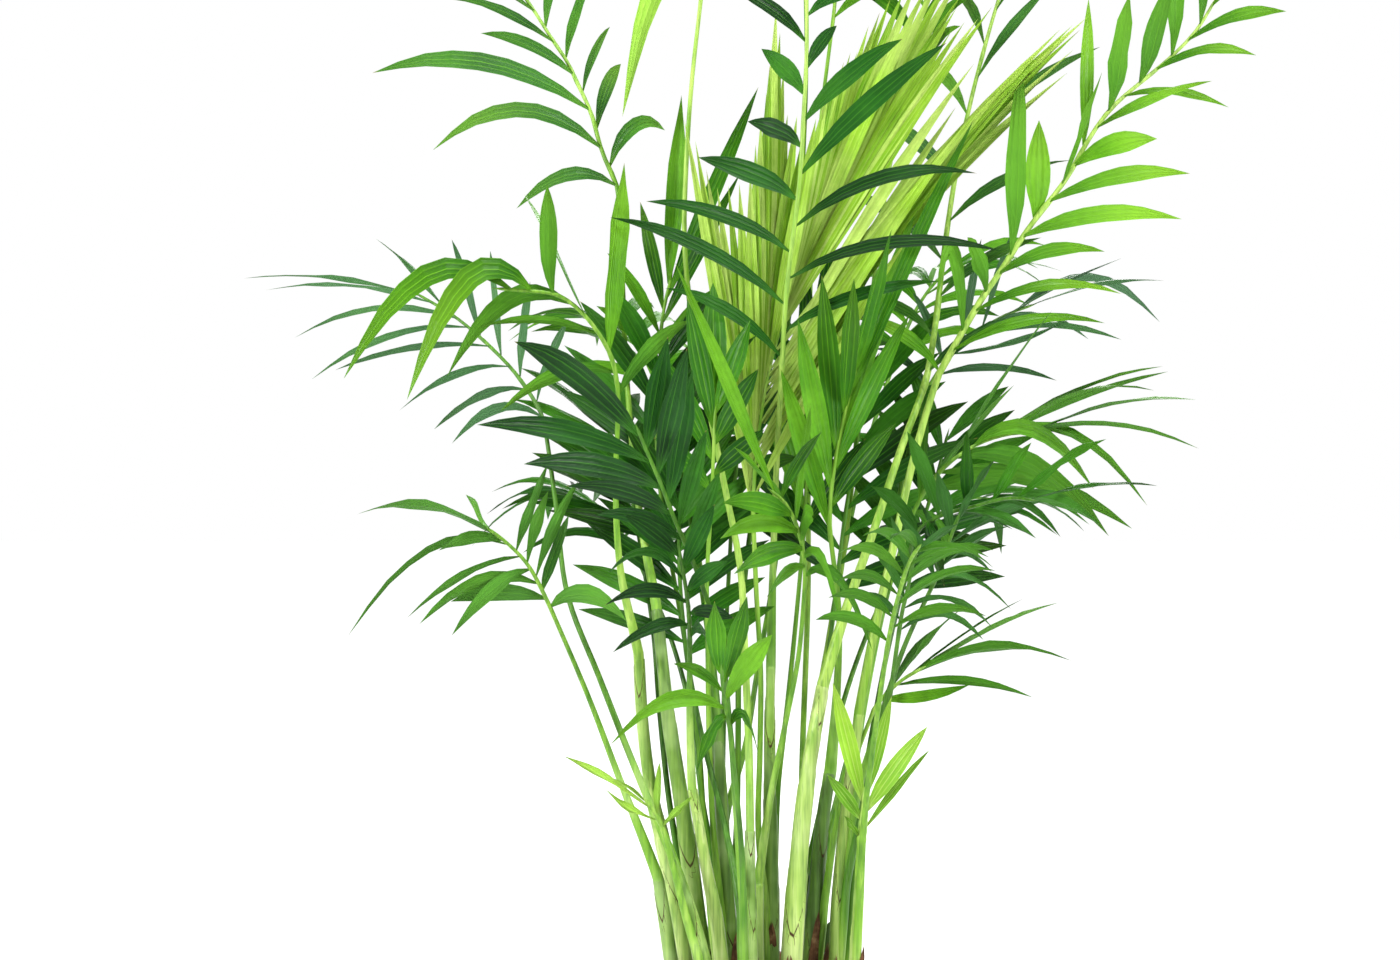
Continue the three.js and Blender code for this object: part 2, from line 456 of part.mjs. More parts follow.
    rachis: [[-46, 512, -24], [-45, 536, -26], [-44, 562, -26], [-43, 590, -24]],
    leaflets: [[-88, 556, -34, 13, 2], [-8, 560, -40, 14, 0], [-82, 616, -34, 14, 0], [-12, 606, -38, 15, 0],
      [-64, 656, -30, 14, 0], [-18, 640, -34, 14, 0], [-45, 668, -28, 18, 0]] },
  { name: 'leaf_low_left', tone: 'young', cane: 4, leaves: 215, stalk: [[-70, 240, -54], [-76, 258, -60]],
    rachis: [[-82, 272, -64], [-87, 282, -70], [-94, 292, -76]],
    leaflets: [[-60, 296, -70, 5, 0], [-124, 302, -90, 5, -4], [-84, 320, -80, 5, 2], [-154, 326, -96, 6, 2],
      [-120, 308, -76, 4, 2]] },
  { name: 'leaf_left_shade', tone: 'dark', cane: 3, leaves: 226, stalk: [[-81, 320, 8], [-86, 390, 20],
      [-92, 440, 30]],
    rachis: [[-98, 476, 38], [-104, 510, 48], [-112, 540, 60], [-124, 566, 74]],
    pairs: 6, length: [80, 110, 80], width: 14, droop: 0.1, open: [70, 35] },
  { name: 'leaf_mid_shade', tone: 'dark', cane: 17, leaves: 240, up: [0, -0.8, 0.5], stalk: [[-38, 320, 48],
      [-36, 400, 44], [-34, 450, 40]],
    rachis: [[-32, 484, 34], [-30, 512, 28], [-27, 542, 24], [-23, 572, 20]],
    leaflets: [[-80, 470, 26, 12, 6], [14, 486, 26, 12, 6], [-84, 520, 22, 14, 4], [18, 540, 20, 13, 4],
      [-74, 590, 22, 14, 2], [10, 600, 20, 14, 2], [-46, 650, 24, 14, 0], [-8, 664, 24, 13, 0]] },
  { name: 'leaf_shade_left', tone: 'dark', cane: 5, leaves: 206, up: [0, -1, 0.25],
      stalk: [[-53, 290, -8], [-58, 360, 4], [-68, 420, 14]],
    rachis: [[-76, 466, 20], [-84, 520, 26], [-86, 570, 30], [-82, 612, 32]],
    pairs: 7, length: [86, 112, 84], width: 15, droop: 0.06, open: [66, 30] },
  { name: 'leaf_shade_low', tone: 'dark', cane: 7, leaves: 235, up: [0, -1, 0.25], stalk: [[-42, 300, -8],
      [-56, 350, -4]],
    rachis: [[-64, 394, 0], [-68, 434, 6], [-70, 476, 10], [-68, 516, 12]],
    pairs: 6, length: [78, 98, 76], width: 14, droop: 0.06, open: [68, 30] },
  { name: 'leaf_shade_mid', tone: 'dark', cane: 12, leaves: 204, up: [0, -1, 0.25], stalk: [[22, 270, 14],
      [30, 330, 22], [38, 390, 28]],
    rachis: [[44, 440, 32], [50, 490, 38], [58, 540, 44], [66, 588, 48]],
    pairs: 7, length: [90, 116, 90], width: 15, droop: 0.06, open: [64, 28] },
  { name: 'leaf_shade_right', tone: 'dark', cane: 14, leaves: 216, up: [0, -1, 0.25],
      stalk: [[63, 290, 38], [72, 350, 44], [82, 400, 50]],
    rachis: [[92, 442, 54], [104, 482, 58], [116, 520, 62], [126, 558, 66]],
    pairs: 6, length: [80, 100, 74], width: 13, droop: 0.06, open: [66, 30] },

  // Regular leaves that fill the crown, mostly to the back and to the top.
  { name: 'leaf_back_left', tone: 'mid', cane: 17, stalk: [[-46, 400, 90], [-56, 470, 122], [-68, 530, 156]],
    rachis: [[-82, 580, 190], [-98, 616, 226], [-116, 636, 264], [-134, 640, 302]],
    pairs: 6, length: [90, 120, 80], width: 12, droop: 0.20, open: [66, 30] },
  { name: 'leaf_back_low_left', tone: 'dark', cane: 17, leaves: 214, stalk: [[-54, 300, 66],
      [-60, 350, 84], [-76, 410, 118]],
    rachis: [[-98, 462, 156], [-120, 496, 194], [-142, 512, 232], [-164, 510, 266]],
    pairs: 5, length: [80, 110, 80], width: 12, droop: 0.25, open: [66, 30] },
  { name: 'leaf_back_right', tone: 'mid', cane: 18, stalk: [[38, 400, 90], [52, 480, 122], [68, 550, 158]],
    rachis: [[86, 606, 196], [104, 648, 234], [124, 672, 272], [144, 678, 308]],
    pairs: 6, length: [90, 120, 80], width: 12, droop: 0.20, open: [66, 30] },
  { name: 'leaf_back_low_right', tone: 'dark', cane: 18, leaves: 214, stalk: [[36, 300, 68],
      [46, 350, 84], [66, 410, 116]],
    rachis: [[90, 462, 152], [116, 496, 190], [144, 510, 228], [172, 506, 262]],
    pairs: 5, length: [80, 110, 80], width: 12, droop: 0.25, open: [66, 30] },
  { name: 'leaf_back_centre', tone: 'dark', cane: 17, leaves: 270, stalk: [[-26, 310, 74], [-12, 390, 104],
      [0, 460, 138]],
    rachis: [[8, 526, 176], [14, 580, 214], [18, 616, 254], [20, 630, 294]],
    pairs: 6, length: [100, 130, 80], width: 12, droop: 0.22, open: [66, 30] },
  { name: 'leaf_back_tall', tone: 'mid', cane: 18, leaves: 250, stalk: [[20, 330, 74], [24, 440, 92],
      [24, 560, 106], [26, 670, 118], [32, 770, 134]],
    rachis: [[42, 852, 154], [48, 910, 180], [52, 952, 212], [54, 976, 248]],
    pairs: 7, length: [90, 130, 80], width: 12, droop: 0.15, open: [62, 28] },
  { name: 'leaf_top_right', tone: 'mid', cane: 18, leaves: 206, stalk: [[20, 290, 36], [34, 380, 40],
      [50, 470, 54], [60, 560, 64], [70, 650, 72], [82, 740, 80]],
    rachis: [[94, 800, 86], [106, 856, 94], [122, 906, 104], [144, 948, 116]],
    pairs: 6, length: [90, 130, 80], width: 12, droop: 0.15, open: [60, 28] },
  { name: 'leaf_top_centre', tone: 'mid', cane: 6, leaves: 208, stalk: [[-27, 300, 22], [-26, 400, 30],
      [-16, 500, 44], [4, 600, 56], [16, 690, 60], [22, 790, 58]],
    rachis: [[22, 876, 54], [12, 930, 46], [-4, 978, 34], [-24, 1016, 18]],
    pairs: 6, length: [90, 120, 80], width: 11, droop: 0.12, open: [58, 28] },
  { name: 'leaf_front_right', tone: 'mid', cane: 15, leaves: 225, stalk: [[66, 290, -66], [74, 350, -90]],
    rachis: [[82, 404, -116], [90, 440, -142], [98, 464, -170], [106, 476, -200]],
    pairs: 5, length: [60, 80, 60], width: 9, droop: 0.2, open: [65, 30] },
];

const goldenTurn = 2.399963;    // in radians, so that no two neighbours vary alike

// Leaflet tips of a regular leaf, as world points, each a little uneven in
// length, width and lean.
function regularLeaflets(leaf, curve, from, to) {
  const rows = [];
  const count = leaf.pairs * 2 + 1;
  for (let i = 0; i < count; i++) {
    const t = (i + 0.5) / count;
    const u = (from + (to - from) * t) / curve.getLength();
    const point = curve.getPointAt(u);
    const tangent = curve.getTangentAt(u);
    const up = leaf.up.clone().addScaledVector(tangent, -leaf.up.dot(tangent)).normalize();
    const side = new THREE.Vector3().crossVectors(up, tangent).multiplyScalar(i % 2 ? 1 : -1);
    const [first, middle, last] = leaf.length;
    const size = t < 0.5 ? first + (middle - first) * 2 * t : middle + (last - middle) * (2 * t - 1);
    const length = size * (0.94 + 0.1 * Math.sin(goldenTurn * i));
    const open = THREE.MathUtils.degToRad(THREE.MathUtils.lerp(...leaf.open, t));
    const reach = tangent.clone().multiplyScalar(Math.cos(open)).addScaledVector(side, Math.sin(open));
    reach.addScaledVector(up, 0.16 * Math.cos(goldenTurn * i));
    const tip = point.clone().addScaledVector(reach.normalize(), length);
    tip.z -= leaf.droop * length;
    const width = leaf.width * (0.92 + 0.12 * Math.cos(goldenTurn * i));
    rows.push({ tip, width, lift: leaf.droop * length * 0.6 });
  }
  return rows;
}

// Where the rings of a leaflet lie along it, and their share of its width.
const bladeRings = [[0.18, 0.66], [0.46, 1.0], [0.76, 0.68]];

// The upper face of a leaflet: square to the stalk and to the leaflet, or
// towards the stalk's upper side where the leaflet runs on along the stalk.
function upperFace(along, here, turn) {
  const upright = here.up.clone().addScaledVector(along, -here.up.dot(along));
  const face = new THREE.Vector3().crossVectors(here.tangent, along).multiplyScalar(-turn);
  return face.addScaledVector(upright, Math.abs(here.tangent.dot(along)) ** 12).normalize();
}

// here is the stalk's frame where the leaflet starts. turn is 1 on the left of
// the stalk and -1 on its right, so the keel is always on the underside.
function bladePoints(base, row, here, turn) {
  const middle = base.clone().add(row.tip).multiplyScalar(0.5);
  middle.z += 2 * row.lift;
  const curve = new THREE.QuadraticBezierCurve3(base, middle, row.tip);
  const chord = row.tip.clone().sub(base).normalize();
  const chordFace = upperFace(chord, here, turn);
  const hang = hangClearance * Math.max(0, -chord.dot(here.up));
  return bladeRings.map(([t, share]) => {
    const centre = curve.getPoint(t).addScaledVector(here.side, -turn * hang * (1 - t));
    const tangent = curve.getTangent(t).normalize();
    const bend = new THREE.Quaternion().setFromUnitVectors(chord, tangent);
    const face = chordFace.clone().applyQuaternion(bend);
    const across = new THREE.Vector3().crossVectors(face, tangent).multiplyScalar(turn);
    const half = (row.width * share) / 2;
    return {
      near: centre.clone().addScaledVector(across, -half),
      far: centre.clone().addScaledVector(across, half),
      keel: centre.clone().addScaledVector(face, -keelDepth),
    };
  });
}

// Which corners of a stalk's wall a leaflet grows out of, on each side of it:
// the wall face, its corners in turn and what each becomes in the blade.
const sockets = {
  right: { face: 3, turn: -1, corners: [0, 1, 2], roles: ['keel', 'near', 'far'], rest: [0, 2, 3] },
  left: { face: 1, turn: 1, corners: [0, 1, 3], roles: ['near', 'keel', 'far'], rest: [1, 2, 3] },
};

// Two triangles over a four-cornered wall, split along the diagonal that
// bulges outwards, so a twisted wall never dips through the one behind it.
function addWall(points, triangles, a, b, c, d) {
  const [p, q, r, s] = [a, b, c, d].map((i) => points[i]);
  const outward = q.clone().sub(p).cross(r.clone().sub(p));
  if (outward.dot(s.clone().sub(p)) <= 0) triangles.push(a, b, c, a, c, d);
  else triangles.push(a, b, d, b, c, d);
}

function addBlade(points, triangles, socketCorners, roles, rings, tip) {
  let lower = socketCorners;
  for (const ring of rings) {
    const upper = roles.map((role) => points.push(ring[role]) - 1);
    for (let k = 0; k < 3; k++) {
      const next = (k + 1) % 3;
      addWall(points, triangles, lower[k], lower[next], upper[next], upper[k]);
    }
    lower = upper;
  }
  const end = points.push(tip) - 1;
  for (let k = 0; k < 3; k++) triangles.push(lower[k], lower[(k + 1) % 3], end);
}

// ---------------------------------------------------------------- clearance

const placed = [];

function boxOf(points) {
  return new THREE.Box3().setFromPoints(points);
}

// Everything placed so far stays this far off. The leaf's own stalk is left
// out, and its other leaflets only count beyond their foot, where they meet.
function isClear(piece, gap) {
  const wide = piece.box.clone().expandByScalar(gap);
  return placed.every((other) => {
    if (!wide.intersectsBox(other.box)) return true;
    if (!piece.leaf || other.leaf !== piece.leaf) return piece.solid.minGap(other.solid, gap) >= gap;
    if (!other.outer) return piece.outer.minGap(other.solid, gap) >= gap * 0.6;
    return piece.solid.minGap(other.outer, gap) >= gap && piece.outer.minGap(other.solid, gap) >= gap;
  });
}

// ---------------------------------------------------------------- stalks

// How far a bare stalk bows to the back or to the front to pass its
// neighbours.
const stalkBows = [0, 4, -4, 8, -8, 12, -12, 17, -17, 22, -22, 28, -28, 35, -35];

function stalkFoot(leaf, cane, towards) {
  if (leaf.leaves === undefined) {
    const end = cane.curve.getPointAt(1);
    return end.addScaledVector(cane.curve.getTangentAt(1), caneTipLength + fit + stalkRadius);
  }
  const { point, radius } = onCane(cane, leaf.leaves);
  const out = towards.clone().sub(point).setZ(0).normalize();
  return point.addScaledVector(out, radius + (leaf.thick ?? stalkRadius) + fit);
}

function planStalk(leaf, bow) {
  const cane = canes[leaf.cane - 1];
  const bare = leaf.stalk.map((p) => at(...p));
  const leafy = leaf.rachis.map((p) => at(...p));
  const foot = stalkFoot(leaf, cane, bare[0]);
  bare.forEach((point, i) => {
    point.y += bow * Math.sin((Math.PI * (i + 1)) / (bare.length + 1));
  });
  const curve = throughPoints([foot, ...bare, ...leafy]);
  const total = curve.getLength();
  const leafyLength = throughPoints(leafy).getLength();
  const from = total - leafyLength;
  const rows = leaf.leaflets ?? regularLeaflets(leaf, curve, from, total);
  const leafyStations = evenly(from, total, leafyLength / (rows.length || 1));
  const bareStations = evenly(0, from, stalkStep).slice(0, -1);
  const stations = [...bareStations, ...leafyStations];
  const list = frames(curve, stations, leaf.up, bareStations.length + (leafyStations.length >> 1));
  const footRadius = leaf.thick ?? stalkRadius;
  const radii = stations.map((s) => THREE.MathUtils.lerp(footRadius, stalkTipRadius, s / total));
  const mesh = tubeMesh(list, radii, 4, stalkRadius, 3);
  return { mesh, list, radii, rows, firstLeafy: bareStations.length };
}

function placeStalk(leaf) {
  for (const bow of stalkBows) {
    const plan = planStalk(leaf, bow);
    const solid = toSolid(fromLists(plan.mesh.points, plainTriangles(plan.mesh)));
    const piece = { solid, box: boxOf(plan.mesh.points) };
    if (isClear(piece, fit * 0.9)) {
      leaf.plan = plan;
      placed.push({ ...piece, leaf });
      return;
    }
  }
}

// ---------------------------------------------------------------- leaflets

// How a leaflet's tip gives way when another leaf is already there: to the
// front or back, up or down, and last of all by staying shorter.
const tipMoves = [[0, 0], [-9, 0], [9, 0], [-18, 0], [18, 0], [-28, 4], [28, 4], [0, 12], [0, -12], [-40, 6],
  [40, 6], [-54, 8], [54, 8], [-20, 20], [20, 20], [-20, -20], [20, -20]];
const shorter = [1, 0.86, 0.72, 0.58, 0.44, 0.3];

function* leafletTries(base, row) {
  for (const share of shorter) {
    for (const [dy, dz] of tipMoves) {
      const tip = row.tip.clone().add(new THREE.Vector3(0, dy, dz));
      tip.lerpVectors(base, tip, share);
      yield { tip, width: row.width, lift: row.lift * share };
    }
  }
}

function growLeaflet(leaf, i) {
  const { mesh, list, firstLeafy, rows } = leaf.plan;
  const ring = firstLeafy + i;
  const [here, next] = [list[ring], list[ring + 1]];
  const base = here.point.clone().add(next.point).multiplyScalar(0.5);
  const row = rows[i];
  const sideways = row.tip.clone().sub(base).dot(here.side);
  const socket = sideways > 0 ? sockets.right : sockets.left;
  const wall = mesh.walls.find((w) => w.ring === ring && w.face === socket.face);
  const corners = socket.corners.map((c) => wall.corners[c]);
  const foothold = base.clone().addScaledVector(here.side, -socket.turn * leaf.plan.radii[ring]);
  for (const attempt of leafletTries(base, row)) {
    const rings = bladePoints(foothold, attempt, here, socket.turn);
    const foot = corners.map((c) => mesh.points[c]);
    const firstRing = socket.roles.map((role) => rings[0][role]);
    const piece = {
      leaf,
      solid: bladeSolid(foot, socket.roles, rings, attempt.tip),
      outer: bladeSolid(firstRing, socket.roles, rings.slice(1), attempt.tip),
      box: boxOf([...foot, ...rings.flatMap((r) => Object.values(r)), attempt.tip]),
    };
    if (isClear(piece, leafletGap)) {
      placed.push(piece);
      wall.blade = { socket, corners, rings, tip: attempt.tip };
      return;
    }
    piece.solid.delete();
    piece.outer.delete();
  }
}

function bladeSolid(foot, roles, rings, tip) {
  const points = [...foot];
  const triangles = [0, 2, 1];
  addBlade(points, triangles, [0, 1, 2], roles, rings, tip);
  return toSolid(fromLists(points, triangles));
}

function leafGeometry(leaf) {
  const { mesh } = leaf.plan;
  const points = [...mesh.points];
  const triangles = [...mesh.caps];
  for (const { corners: all, blade } of mesh.walls) {
    if (!blade) {
      const [p, q, s, r] = all;
      triangles.push(p, q, s, p, s, r);
      continue;
    }
    triangles.push(...blade.socket.rest.map((c) => all[c]));
    addBlade(points, triangles, blade.corners, blade.socket.roles, blade.rings, blade.tip);
  }
  return fromLists(points, triangles);
}

// ---------------------------------------------------------------- assembly

const plant = new THREE.Group();

function add(name, geometry, colour, roughness) {
  const material = new THREE.MeshStandardMaterial({ color: colour, roughness, metalness: 0 });
  const mesh = new THREE.Mesh(geometry, material);
  mesh.name = name;
  plant.add(mesh);
}

for (const cane of canes) cane.curve = throughPoints(cane.route.map((p) => at(...p)));
const caneGeometries = canes.map((cane) => caneTube(cane, 0));
const caneHoles = canes.map((cane) => toSolid(caneTube(cane, fit)));

add('pot', makePot(), colours.pot, 0.55);
add('soil', makeSoil(caneHoles), colours.soil, 0.95);

caneGeometries.forEach((geometry, i) => {
  const box = new THREE.Box3().setFromBufferAttribute(geometry.attributes.position);
  placed.push({ solid: toSolid(geometry), box });
  add(`cane_${String(i + 1).padStart(2, '0')}`, geometry, i % 4 === 3 ? colours.caneDark : colours.cane, 0.5);
});

for (const leaf of leaves) {
  leaf.up = new THREE.Vector3(...(leaf.up ?? [0, 0, 1])).normalize();
  leaf.leaflets = leaf.leaflets?.map(([x, z, y, width, lift]) => ({ tip: at(x, z, y), width, lift }));
  placeStalk(leaf);
}
for (const leaf of leaves) {
  leaf.plan.rows.forEach((_, i) => growLeaflet(leaf, i));
  add(leaf.name, leafGeometry(leaf), colours[leaf.tone], 0.45);
}

export default plant;
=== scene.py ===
import json
import math
import random

import bmesh
import bpy
import numpy as np
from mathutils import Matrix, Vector, noise


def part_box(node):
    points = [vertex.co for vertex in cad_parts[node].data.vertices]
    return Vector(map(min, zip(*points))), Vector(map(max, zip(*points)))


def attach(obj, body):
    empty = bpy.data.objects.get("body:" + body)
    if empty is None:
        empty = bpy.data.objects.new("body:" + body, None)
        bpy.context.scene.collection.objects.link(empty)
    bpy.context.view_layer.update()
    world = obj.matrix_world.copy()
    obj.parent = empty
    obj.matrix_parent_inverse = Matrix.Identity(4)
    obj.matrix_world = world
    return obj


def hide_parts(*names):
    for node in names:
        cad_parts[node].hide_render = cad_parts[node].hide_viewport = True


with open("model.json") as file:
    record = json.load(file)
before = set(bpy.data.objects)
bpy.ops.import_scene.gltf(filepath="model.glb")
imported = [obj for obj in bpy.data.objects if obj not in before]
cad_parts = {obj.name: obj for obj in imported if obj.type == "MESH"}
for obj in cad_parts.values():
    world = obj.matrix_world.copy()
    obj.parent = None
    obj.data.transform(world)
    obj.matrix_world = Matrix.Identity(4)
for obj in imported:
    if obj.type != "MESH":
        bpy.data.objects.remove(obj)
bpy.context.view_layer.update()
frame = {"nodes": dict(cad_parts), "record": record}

mm = 0.001
fullTurn = 6.28            # radians, near enough for a wave
dice = random.Random(11)
palmNodes = frame["nodes"]
subparts = {part["node"]: part for part in frame["record"]["subparts"]}


# Camera, floor and light

view = {
    "place": (-0.054, -1.4, 0.523),
    "lens": 50,
    "sensor": 36,
}

studio = {
    "floorSize": 30,
    "floorColour": (0.90, 0.90, 0.90, 1),
    "backdrop": 1.0,        # how bright the sky looks
    "fill": 0.24,           # how brightly it lights the plant
    "sun": {"turn": (26, 18, 0), "strength": 3.7, "softness": 22},   # degrees
    # name: place, target, size, power
    "lamps": {
        "keyLamp": ((-1.9, -1.2, 1.3), (0, 0, 0.55), 0.7, 56),
        "sideLamp": ((2.0, -1.0, 1.0), (0, 0, 0.55), 0.6, 26),
        "backLamp": ((0.6, 2.2, 1.9), (0, 0, 0.60), 1.2, 34),
    },
}


def makeCamera():
    lens = bpy.data.cameras.new("viewLens")
    lens.lens = view["lens"]
    lens.sensor_width = view["sensor"]
    lens.clip_start, lens.clip_end = 0.05, 100
    lens.dof.use_dof = False
    camera = bpy.data.objects.new("viewCamera", lens)
    camera.location = view["place"]
    camera.rotation_euler = (math.radians(90), 0, 0)
    bpy.context.collection.objects.link(camera)
    bpy.context.scene.camera = camera


def makeFloor():
    bpy.ops.mesh.primitive_plane_add(size=studio["floorSize"])
    floor = bpy.context.object
    floor.name = "studioFloor"
    paper = bpy.data.materials.new("floorPaper")
    paper.use_nodes = True
    coat = paper.node_tree.nodes["Principled BSDF"]
    coat.inputs["Base Color"].default_value = studio["floorColour"]
    coat.inputs["Roughness"].default_value = 0.9
    floor.data.materials.append(paper)


def makeLight():
    sky = bpy.data.worlds.new("studioSky")
    sky.use_nodes = True
    tree = sky.node_tree
    glow = tree.nodes["Background"]
    glow.inputs["Color"].default_value = (1, 1, 1, 1)
    seen = tree.nodes.new("ShaderNodeLightPath").outputs["Is Camera Ray"]
    level = tree.nodes.new("ShaderNodeMapRange")
    tree.links.new(seen, level.inputs["Value"])
    level.inputs["To Min"].default_value = studio["fill"]
    level.inputs["To Max"].default_value = studio["backdrop"]
    tree.links.new(level.outputs["Result"], glow.inputs["Strength"])
    bpy.context.scene.world = sky
    sun = bpy.data.lights.new("highSun", "SUN")
    sun.energy, sun.angle = studio["sun"]["strength"], math.radians(studio["sun"]["softness"])
    hanger = bpy.data.objects.new("highSun", sun)
    hanger.rotation_euler = [math.radians(turn) for turn in studio["sun"]["turn"]]
    bpy.context.collection.objects.link(hanger)
    for name, (place, target, size, power) in studio["lamps"].items():
        lamp = bpy.data.lights.new(name, "AREA")
        lamp.shape, lamp.size, lamp.energy = "DISK", size, power
        stand = bpy.data.objects.new(name, lamp)
        stand.location = place
        aim = Vector(target) - Vector(place)
        stand.rotation_euler = aim.to_track_quat("-Z", "Y").to_euler()
        bpy.context.collection.objects.link(stand)
    bpy.context.scene.view_settings.view_transform = "Standard"


makeCamera()
makeFloor()
makeLight()
print("studio ready")


# Material nodes

def put(tree, kind, **settings):
    node = tree.nodes.new("ShaderNode" + kind)
    for key, value in settings.items():
        setattr(node, key, value)
    return node


def feed(tree, target, value):  # value is a socket or a number
    if isinstance(value, bpy.types.NodeSocket):
        tree.links.new(value, target)
    else:
        target.default_value = value


def maths(tree, operation, a, b=0.0, c=0.0):
    node = put(tree, "Math", operation=operation)
    for socket, value in zip(node.inputs, (a, b, c)):
        feed(tree, socket, value)
    return node.outputs[0]


def noiseOn(tree, where, scale, detail=3.0, roughness=0.55):
    node = put(tree, "TexNoise")
    tree.links.new(where, node.inputs["Vector"])
    node.inputs["Scale"].default_value = scale
    node.inputs["Detail"].default_value = detail
    node.inputs["Roughness"].default_value = roughness
    return node.outputs["Fac"]


def ramp(tree, factor, stops):
    node = put(tree, "ValToRGB")
    tree.links.new(factor, node.inputs["Fac"])
    bands = node.color_ramp.elements
    while len(bands) < len(stops):
        bands.new(0.5)
    for band, (position, colour) in zip(bands, stops):
        band.position = position
        band.color = (*colour, 1)
    return node.outputs["Color"]


def blend(tree, factor, a, b):  # a where the factor is 0, b where it is 1
    node = put(tree, "Mix", data_type="RGBA")
    feed(tree, node.inputs[0], factor)
    for socket, value in ((node.inputs[6], a), (node.inputs[7], b)):
        feed(tree, socket, value if isinstance(value, bpy.types.NodeSocket) else (*value, 1))
    return node.outputs[2]


def fade(tree, value, low, high, toLow=0.0, toHigh=1.0):  # smooth step of value
    node = put(tree, "MapRange", interpolation_type="SMOOTHSTEP")
    feed(tree, node.inputs[0], value)
    for socket, number in zip(list(node.inputs)[1:5], (low, high, toLow, toHigh)):
        socket.default_value = number
    return node.outputs[0]


def bumpOn(tree, height, strength, distance):
    node = put(tree, "Bump")
    node.inputs["Strength"].default_value = strength
    node.inputs["Distance"].default_value = distance
    tree.links.new(height, node.inputs["Height"])
    return node.outputs["Normal"]


def attribute(tree, name):
    return put(tree, "Attribute", attribute_name=name).outputs["Fac"]


def startFinish(name, roughness, specular):
    finish = bpy.data.materials.new(name)
    finish.use_nodes = True
    tree = finish.node_tree
    shader = tree.nodes["Principled BSDF"]
    shader.inputs["Roughness"].default_value = roughness
    shader.inputs["Specular IOR Level"].default_value = specular
    here = put(tree, "TexCoord").outputs["Object"]
    return finish, tree, shader, here


# Finishes

leafGreens = {
    # deep, middle and light green of the upper face, then the underside
    "leaf_dark": ((0.002, 0.030, 0.001), (0.009, 0.092, 0.002), (0.050, 0.230, 0.008),
                  (0.036, 0.160, 0.012)),
    "leaf_mid": ((0.007, 0.072, 0.001), (0.034, 0.180, 0.003), (0.140, 0.400, 0.014),
                 (0.070, 0.250, 0.012)),
    "leaf_young": ((0.140, 0.370, 0.010), (0.340, 0.620, 0.040), (0.600, 0.820, 0.180),
                   (0.320, 0.590, 0.070)),
}

leafDetail = {
    "pleats": 4,            # broad folds across a leaflet
    "veins": 19,            # fine veins across it
    "bloomAndSheenColour": (0.105, 0.235, 0.115),   # pale grey-green: the waxy bloom of the fine leaves, and a painted sheen on others
    "mostBloomAndSheen": 0.7,
    "limeColour": (0.260, 0.560, 0.030),   # tips of the freshest leaves
    "dryColour": (0.36, 0.27, 0.08),
}


def leafFinish(slot):
    deep, middle, light, under = leafGreens[slot]
    finish, tree, shader, here = startFinish(slot + "Finish", 0.34, 0.17)
    across = put(tree, "SeparateXYZ")
    tree.links.new(put(tree, "UVMap", uv_map="bladeMap").outputs[0], across.inputs[0])
    u, v = across.outputs[0], across.outputs[1]
    patches = noiseOn(tree, here, 15, 3)
    tone = maths(tree, "MULTIPLY_ADD", attribute(tree, "shade"), 0.5, patches)
    colour = ramp(tree, tone, [(0.18, deep), (0.50, middle), (0.90, light)])
    pleats = maths(tree, "COSINE", maths(tree, "MULTIPLY", u, leafDetail["pleats"] * 2 * math.pi))
    veins = maths(tree, "SINE", maths(tree, "MULTIPLY", u, leafDetail["veins"] * 2 * math.pi))
    streaks = noiseOn(tree, here, 170, 2)
    ridge = maths(tree, "MULTIPLY", fade(tree, pleats, 0.55, 1.0), streaks)
    colour = blend(tree, maths(tree, "MULTIPLY", ridge, 0.75), colour, light)
    thread = maths(tree, "MULTIPLY", maths(tree, "MULTIPLY_ADD", veins, 0.5, 0.5), streaks)
    colour = blend(tree, fade(tree, thread, 0.20, 0.65, 0.0, 0.50), colour, deep)
    offMid = maths(tree, "ABSOLUTE", maths(tree, "SUBTRACT", u, 0.5))
    colour = blend(tree, fade(tree, offMid, 0.0, 0.03, 0.45, 0.0), colour, light)
    colour = blend(tree, fade(tree, v, 0.0, 0.16, 0.60, 0.0), colour, light)
    lime = maths(tree, "MULTIPLY", fade(tree, v, 0.10, 0.95), attribute(tree, "lime"))
    colour = blend(tree, lime, colour, leafDetail["limeColour"])
    # pale grey-green over the leaf: the bloom of the fine leaves, and a sheen painted in colour on others
    bloomAndSheen = maths(tree, "MULTIPLY", attribute(tree, "bloomAndSheen"), leafDetail["mostBloomAndSheen"])
    colour = blend(tree, bloomAndSheen, colour, leafDetail["bloomAndSheenColour"])
    dry = maths(tree, "MULTIPLY", fade(tree, v, 0.965, 1.0), attribute(tree, "dryness"))
    colour = blend(tree, dry, colour, leafDetail["dryColour"])
    below = attribute(tree, "below")
    colour = blend(tree, maths(tree, "MULTIPLY", below, 0.6), colour, under)
    tree.links.new(colour, shader.inputs["Base Color"])
    gloss = maths(tree, "MULTIPLY_ADD", below, 0.20, fade(tree, patches, 0.3, 0.7, 0.28, 0.42))
    tree.links.new(gloss, shader.inputs["Roughness"])
    relief = maths(tree, "MULTIPLY_ADD", pleats, 0.55, maths(tree, "MULTIPLY_ADD", veins, 0.22, streaks))
    tree.links.new(bumpOn(tree, relief, 0.9, 0.6 * mm), shader.inputs["Normal"])
    return finish


stemGreens = {
    # tone from 0 to 1: colour
    "cane_green": [(0.0, (0.035, 0.060, 0.014)), (0.25, (0.070, 0.150, 0.026)),
                   (0.5, (0.170, 0.320, 0.045)), (0.75, (0.340, 0.500, 0.110)),
                   (1.0, (0.540, 0.640, 0.250))],
    "petiole": [(0.0, (0.018, 0.070, 0.006)), (0.35, (0.062, 0.190, 0.012)), (0.65, (0.170, 0.360, 0.030)),
                (1.0, (0.390, 0.570, 0.110))],
}

